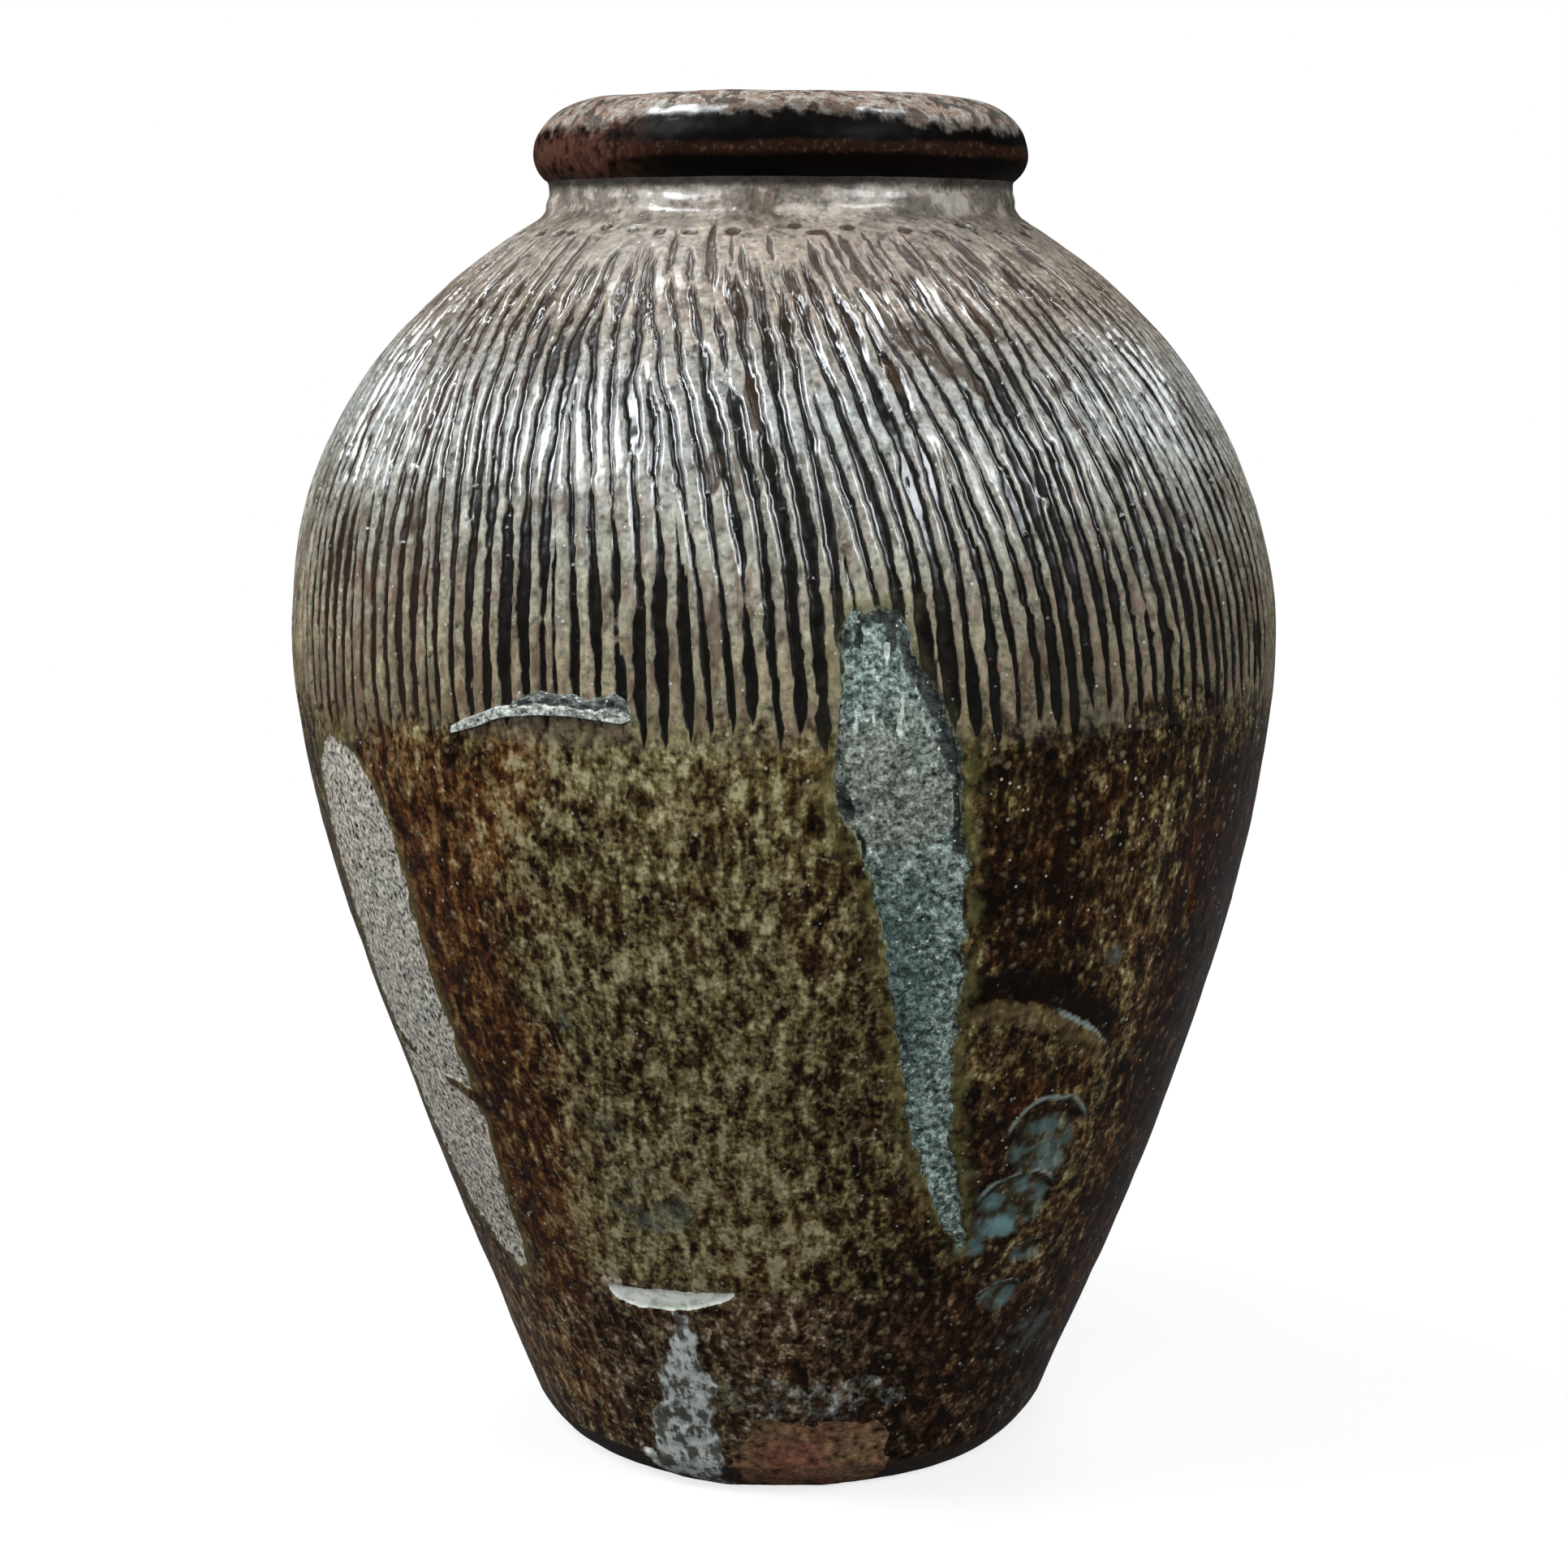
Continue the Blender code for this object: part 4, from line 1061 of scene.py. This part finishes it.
def build_walls():
    """All the rings of the jar, from the slab to the rolled rim."""
    slab_key = HEEL_RADIUS - WALL / 2
    slab_top = [(slab_key, HEEL_HEIGHT), (slab_key, FLOOR)]
    slab_top += [(r, FLOOR) for r in np.linspace(70, CAP_RADIUS, 6)]
    rim_foot = [(NECK_RADIUS - WALL / 2, NECK_HEIGHT)]
    heel, foot, border, comb, neck, rim = (
        length_at(height) for height in (HEEL_HEIGHT, FOOT_SEAM, BORDER_SEAM, COMB_SEAM, NECK_SEAM, RIM_SEAM))
    for ring in (
        ("base_slab_clay", "base_slab", "bare_clay", 0.0, heel, 46, 480, slab_top, "capped"),
        ("foot_wall_glazed", "foot_wall", "foot_glaze", heel, foot, 76, 720,
         inner_rows(FOOT_SEAM, FLOOR, 8)),
        ("lower_wall_glazed", "lower_wall", "speckled_glaze", foot, border, 126, 720,
         inner_rows(BORDER_SEAM, FOOT_SEAM, 10)),
        ("comb_border", "lower_wall", "speckled_glaze", border, comb, 20, 1264,
         inner_rows(COMB_SEAM, BORDER_SEAM, 3), "combed"),
        ("shoulder_combed", "combed_shoulder", "combed_glaze", comb, neck, 68, 1264,
         inner_rows(NECK_SEAM, COMB_SEAM, 9), "combed"),
        ("neck_collar_glazed", "neck_collar", "neck_glaze", neck, rim, 24, 900,
         inner_rows(NECK_HEIGHT, NECK_SEAM, 3)),
        ("rolled_rim_glazed", "rolled_rim", "rim_glaze", rim, SKIN_LENGTH[-1], 96, 720, rim_foot),
    ):
        add_place_maps(wall_ring(*ring))


def patch_body(name, slot_name, node, top, bottom, maps):
    """A closed patch from a grid of points on top and one below it."""
    rows, columns = top.shape[:2]
    index = np.arange(rows * columns).reshape(rows, columns)
    upper = np.stack([index[:-1, :-1], index[:-1, 1:], index[1:, 1:], index[1:, :-1]], -1).reshape(-1, 4)
    lower = upper[:, ::-1] + rows * columns
    border = np.concatenate([index[0, :-1], index[:-1, -1], index[-1, :0:-1], index[:0:-1, 0]])
    after = np.roll(border, -1)
    side = np.stack([after, border, border + rows * columns, after + rows * columns], 1)
    faces = np.concatenate([upper, lower, side]).tolist()
    piece = make_object(name, np.concatenate([top, bottom]), faces, slot_name, [node])
    for key, values in maps.items():
        full = np.zeros((2, rows, columns))
        full[0] = values
        add_map(piece.data, key, full)
    piece.data.shade_smooth()
    return piece


def on_wall(azimuth, height, stand):
    """Points that stand off the plain wall by a distance, square to it."""
    radius = radius_at(height)
    slope = (radius_at(height + 1) - radius_at(height - 1)) / 2
    tilt = np.hypot(1, slope)
    return placed(radius + stand / tilt, height - stand * slope / tilt, azimuth)


# How deep the grit and the shard go into the plain wall, and the rows and columns of points on them
GRIT_DEPTH = 2.35
GRIT_GRID = (352, 84)
SHARD_DEPTH = 0.9
SHARD_GRID = (44, 260)
# White streaks at the top of the scar: azimuth, lower and upper end
STREAKS = ((7.0, 262, 275), (9.0, 264, 277), (11.6, 261, 271), (8.3, 279, 283), (10.2, 281, 286))


def build_grit():
    """The crust in the scar, with the comb's ridges in its upper part."""
    heights, left, right = np.array(SCAR_EDGES, float).T
    height = np.linspace(heights[0] - 1.0, heights[-1] + 4.0, GRIT_GRID[0])[:, None]
    share = np.linspace(0, 1, GRIT_GRID[1])[None, :]
    left_edge = np.interp(height, heights, left) - 1.3
    right_edge = np.interp(height, heights, right) + 1.3
    azimuth = left_edge + (right_edge - left_edge) * share
    wall = Wall(azimuth, height + 0 * share, radius_at(height) + 0 * share)
    edge = ragged_scar(wall)
    comb, _ = combing(wall)
    rough = clouds(wall.around, 4.0, 3, 140)
    grains = cloud(wall.around, 1.6, 150)
    upper_part = step(250, 262, wall.height)
    ragged = 0.78 * clouds(wall.around, 3.5, 2, 145)
    pits = step(1.9, 0.5, wall.line(((7.5, 286), (7.8, 294))) + ragged)
    pits += step(2.2, 0.6, wall.line(((10.5, 284), (10.8, 294))) + ragged)
    near_edge = step(5.0, 1.0, edge) * wall.band(215, 232, 276, 288)
    pits = 0.9 * pits + 0.48 * near_edge
    crumbled = wall.line(((12.2, 287), (13.6, 277), (16.0, 266), (17.2, 252))) + 1.2 * rough
    pits += 0.66 * step(5.6, 1.6, crumbled)
    pits += 0.6 * step(4.0, 0.5, np.abs(wall.across(18.0))) * step(12, 4, np.abs(wall.height - 232))
    pits += 0.20 * wall.band(100, 140, 150, 200)
    patches = step(-0.15, 0.45, clouds(wall.around, 9.0, 2, 156)) * step(120, 200, wall.height)
    pits += 0.8 * patches * step(4.6, 1.4, edge)
    stand = -0.55 + 0.45 * rough + 0.32 * grains - 1.0 * comb * upper_part
    stand -= 0.8 * step(0.45, 0.9, pits + 0.5 * rough)
    stand = np.maximum(stand, -1.9) * step(-0.6, 0.2, edge) - 2.0 * step(0.2, -0.6, edge)
    top = on_wall(azimuth, wall.height, stand)
    bottom = on_wall(azimuth, wall.height, np.full(wall.shape, -GRIT_DEPTH))
    white = 0.35 * wall.band(256, 264, 282, 290)
    broken = step(-0.8, 0.0, cloud(wall.upright, 2.0, 155))
    for place, low, high in STREAKS:
        streak = wall.line(((place, low), (place + 0.2, high))) + 0.45 * rough + 0.3 * grains
        white = np.maximum(white, step(1.3, 0.3, streak) * broken)
    maps = {
        "pits": pits,
        "white": white,
        "warm": wall.band(200, 245, 250, 288),
        "cool": wall.band(105, 165, 195, 244) * step(7, -3, wall.across(15.5)),
    }
    patch_body("scar_grit_crust", "kiln_grit", "scar_grit", top, bottom, maps)


# The shard's lower and upper edges: azimuth and two heights
SHARD_EDGES = (
    (-36.3, 256.5, 258.6), (-34, 258.2, 261.8), (-32, 260.0, 263.8), (-30, 262.3, 266.2),
    (-28.5, 263.4, 266.6), (-27, 263.8, 269.6), (-25, 264.4, 271.4), (-23, 264.8, 270.6),
    (-21.5, 264.9, 271.2), (-20, 264.6, 269.8), (-18.5, 264.2, 270.8), (-17, 263.6, 272.2),
    (-15.9, 263.4, 270.6), (-15.3, 264.6, 267.6),
)


def build_shard():
    """The sliver of another pot: a smooth broken face below a crusty upper edge."""
    places, low, high = np.array(SHARD_EDGES, float).T
    azimuth = np.linspace(places[0], places[-1], SHARD_GRID[1])[None, :]
    share = np.linspace(0, 1, SHARD_GRID[0])[:, None]
    bottom_edge = np.interp(azimuth, places, low)
    top_edge = np.interp(azimuth, places, high)
    height = bottom_edge + (top_edge - bottom_edge) * share
    wall = Wall(azimuth + 0 * share, height, radius_at(height))
    rough = clouds(wall.around, 3.0, 3, 160)
    grains = cloud(wall.around, 1.3, 170)
    ends = step(0, 2.0, np.minimum(azimuth - places[0], places[-1] - azimuth) * 2.8)
    body = 0.45 + 0.55 * step(-30, -26, azimuth)
    rise = step(0.0, 0.10, share) * step(1.0, 0.86, share)
    crust = step(0.42, 0.56, share + 0.06 * rough) * step(-29, -27, azimuth)
    thick = 2.9 - crust + 0.35 * rough + crust * (0.8 * rough + 0.5 * grains)
    stand = 0.3 + rise * ends * body * thick
    top = on_wall(wall.azimuth, height, np.minimum(stand, 4.4))
    bottom = on_wall(wall.azimuth, height, np.full(wall.shape, -SHARD_DEPTH))
    # The shard's lower edge, where it rises off the wall, is laid dark in the pits map as a painted shadow
    # line.
    maps = {"pits": crust * 0.62 + 0.9 * step(0.10, 0.02, share), "white": 0.34 * (1 - crust) * rise,
            "warm": 0.0, "cool": 0.2}
    patch_body("kiln_shard_stuck", "kiln_shard", "kiln_shard", top, bottom, maps)


# The photograph's viewing point, read from the jar's outline: metres, degrees and millimetres of lens
CAMERA_PLACE = (0.0, -0.8969, 0.3924)
CAMERA_TILT = 78.88
CAMERA_LENS = 62.33


def add_camera():
    """The photograph's camera."""
    data = bpy.data.cameras.new("camera")
    data.lens = CAMERA_LENS
    data.sensor_width = 36.0
    camera = new_object("camera", data)
    camera.location = CAMERA_PLACE
    camera.rotation_euler = (math.radians(CAMERA_TILT), 0.0, 0.0)
    bpy.context.scene.camera = camera


# What the lamps look at, their colour where the glaze mirrors them, and the fill lamps round the jar
SHOULDER_METRES = 0.3
COOL_WHITE = (0.90, 0.96, 1.0)
FILL_AZIMUTHS = (-15, 75, 165, 255)
FILL_POWER = 23.0


def add_lamp(name, direction, distance, width, tall, power, mirrored=True):
    """A soft oblong lamp that looks at the jar's shoulder.  A fill lamp isn't mirrored in the glaze."""
    data = bpy.data.lights.new(name, "AREA")
    data.shape = "RECTANGLE"
    data.size = width
    data.size_y = tall
    data.energy = power
    data.color = COOL_WHITE if mirrored else (1.0, 1.0, 1.0)
    lamp = new_object(name, data)
    aim = np.array(direction, float)
    aim /= np.linalg.norm(aim)
    lamp.location = aim * distance + np.array([0, 0, SHOULDER_METRES])
    lamp.rotation_euler = (math.acos(aim[2]), 0.0, math.atan2(aim[1], aim[0]) + math.pi / 2)
    lamp.visible_glossy = mirrored


# How much of the white background the glaze mirrors.  The photo's glaze mirrors a dark room, and with
# more of the white its low angles turn milky.
MIRRORED_WHITE = 0.03
# The floor is a dark cloth for the jar, and for the camera pale paper that goes over into the white
CLOTH = 0.05
PAPER = 0.25
PAPER_LIFT = 0.74
SOFT_LIGHT = 0.02
WHITE = (1, 1, 1, 1)


def white_seen(f):
    """1 for the camera's rays, and a little for rays that the glaze mirrors."""
    camera, glossy, through = (f.node("LightPath", output=f"Is {kind} Ray")
                               for kind in ("Camera", "Glossy", "Transmission"))
    return f.math("MAXIMUM", camera, MIRRORED_WHITE * f.math("MAXIMUM", glossy, through))


def add_floor():
    """A pale floor that goes over into the white background and keeps the jar's shadow."""
    reach = 6.0
    corners = [(-reach, -reach, 0), (reach, -reach, 0), (reach, reach, 0), (-reach, reach, 0)]
    mesh = bpy.data.meshes.new("floor")
    mesh.from_pydata(corners, [], [(0, 1, 2, 3)])
    floor = new_object("floor", mesh)
    f = new_finish("pale_floor")
    away = f.node("VectorMath", {0: f.place()}, "Value", operation="LENGTH")
    cloth, paper = (f.node("BsdfDiffuse", {"Color": (grey, grey, grey, 1)}) for grey in (CLOTH, PAPER))
    lift, white = (f.node("Emission", {"Color": WHITE, "Strength": power}) for power in (PAPER_LIFT, 1.0))
    lit = f.node("AddShader", {0: paper, 1: lift})
    shown = f.node("MixShader", {0: f.step(away, 0.45, 1.1), 1: lit, 2: white})
    surface = f.node("MixShader", {0: white_seen(f), 1: cloth, 2: shown})
    f.node("OutputMaterial", {"Surface": surface})
    mesh.materials.append(f.holder)


def add_world():
    """Plain soft light all round, seen as a white background."""
    world = bpy.data.worlds.new("studio")
    bpy.context.scene.world = world
    f = Finish(world)
    soft, white = (f.node("Background", {"Color": WHITE, "Strength": power}) for power in (SOFT_LIGHT, 1.0))
    surface = f.node("MixShader", {0: white_seen(f), 1: soft, 2: white})
    f.node("OutputWorld", {"Surface": surface})


add_camera()
build_walls()
build_grit()
build_shard()
add_floor()
add_lamp("lamp_left", (-0.60, -0.32, 0.73), 1.4, 0.38, 0.62, 17.0)
add_lamp("lamp_right", (0.55, -0.57, 0.61), 1.4, 0.40, 0.56, 9.0)
add_lamp("lamp_above_left", (-0.34, 0.22, 0.91), 1.4, 0.27, 0.34, 5.2)
add_lamp("lamp_above_right", (0.40, 0.16, 0.90), 1.4, 0.20, 0.30, 3.4)
for number, azimuth in enumerate(FILL_AZIMUTHS):
    turn = math.radians(azimuth)
    direction = (math.sin(turn), -math.cos(turn), 0.35)
    add_lamp(f"fill_{number}", direction, 2.2, 1.4, 1.4, FILL_POWER, mirrored=False)
add_world()
bpy.context.scene.view_settings.view_transform = "Standard"
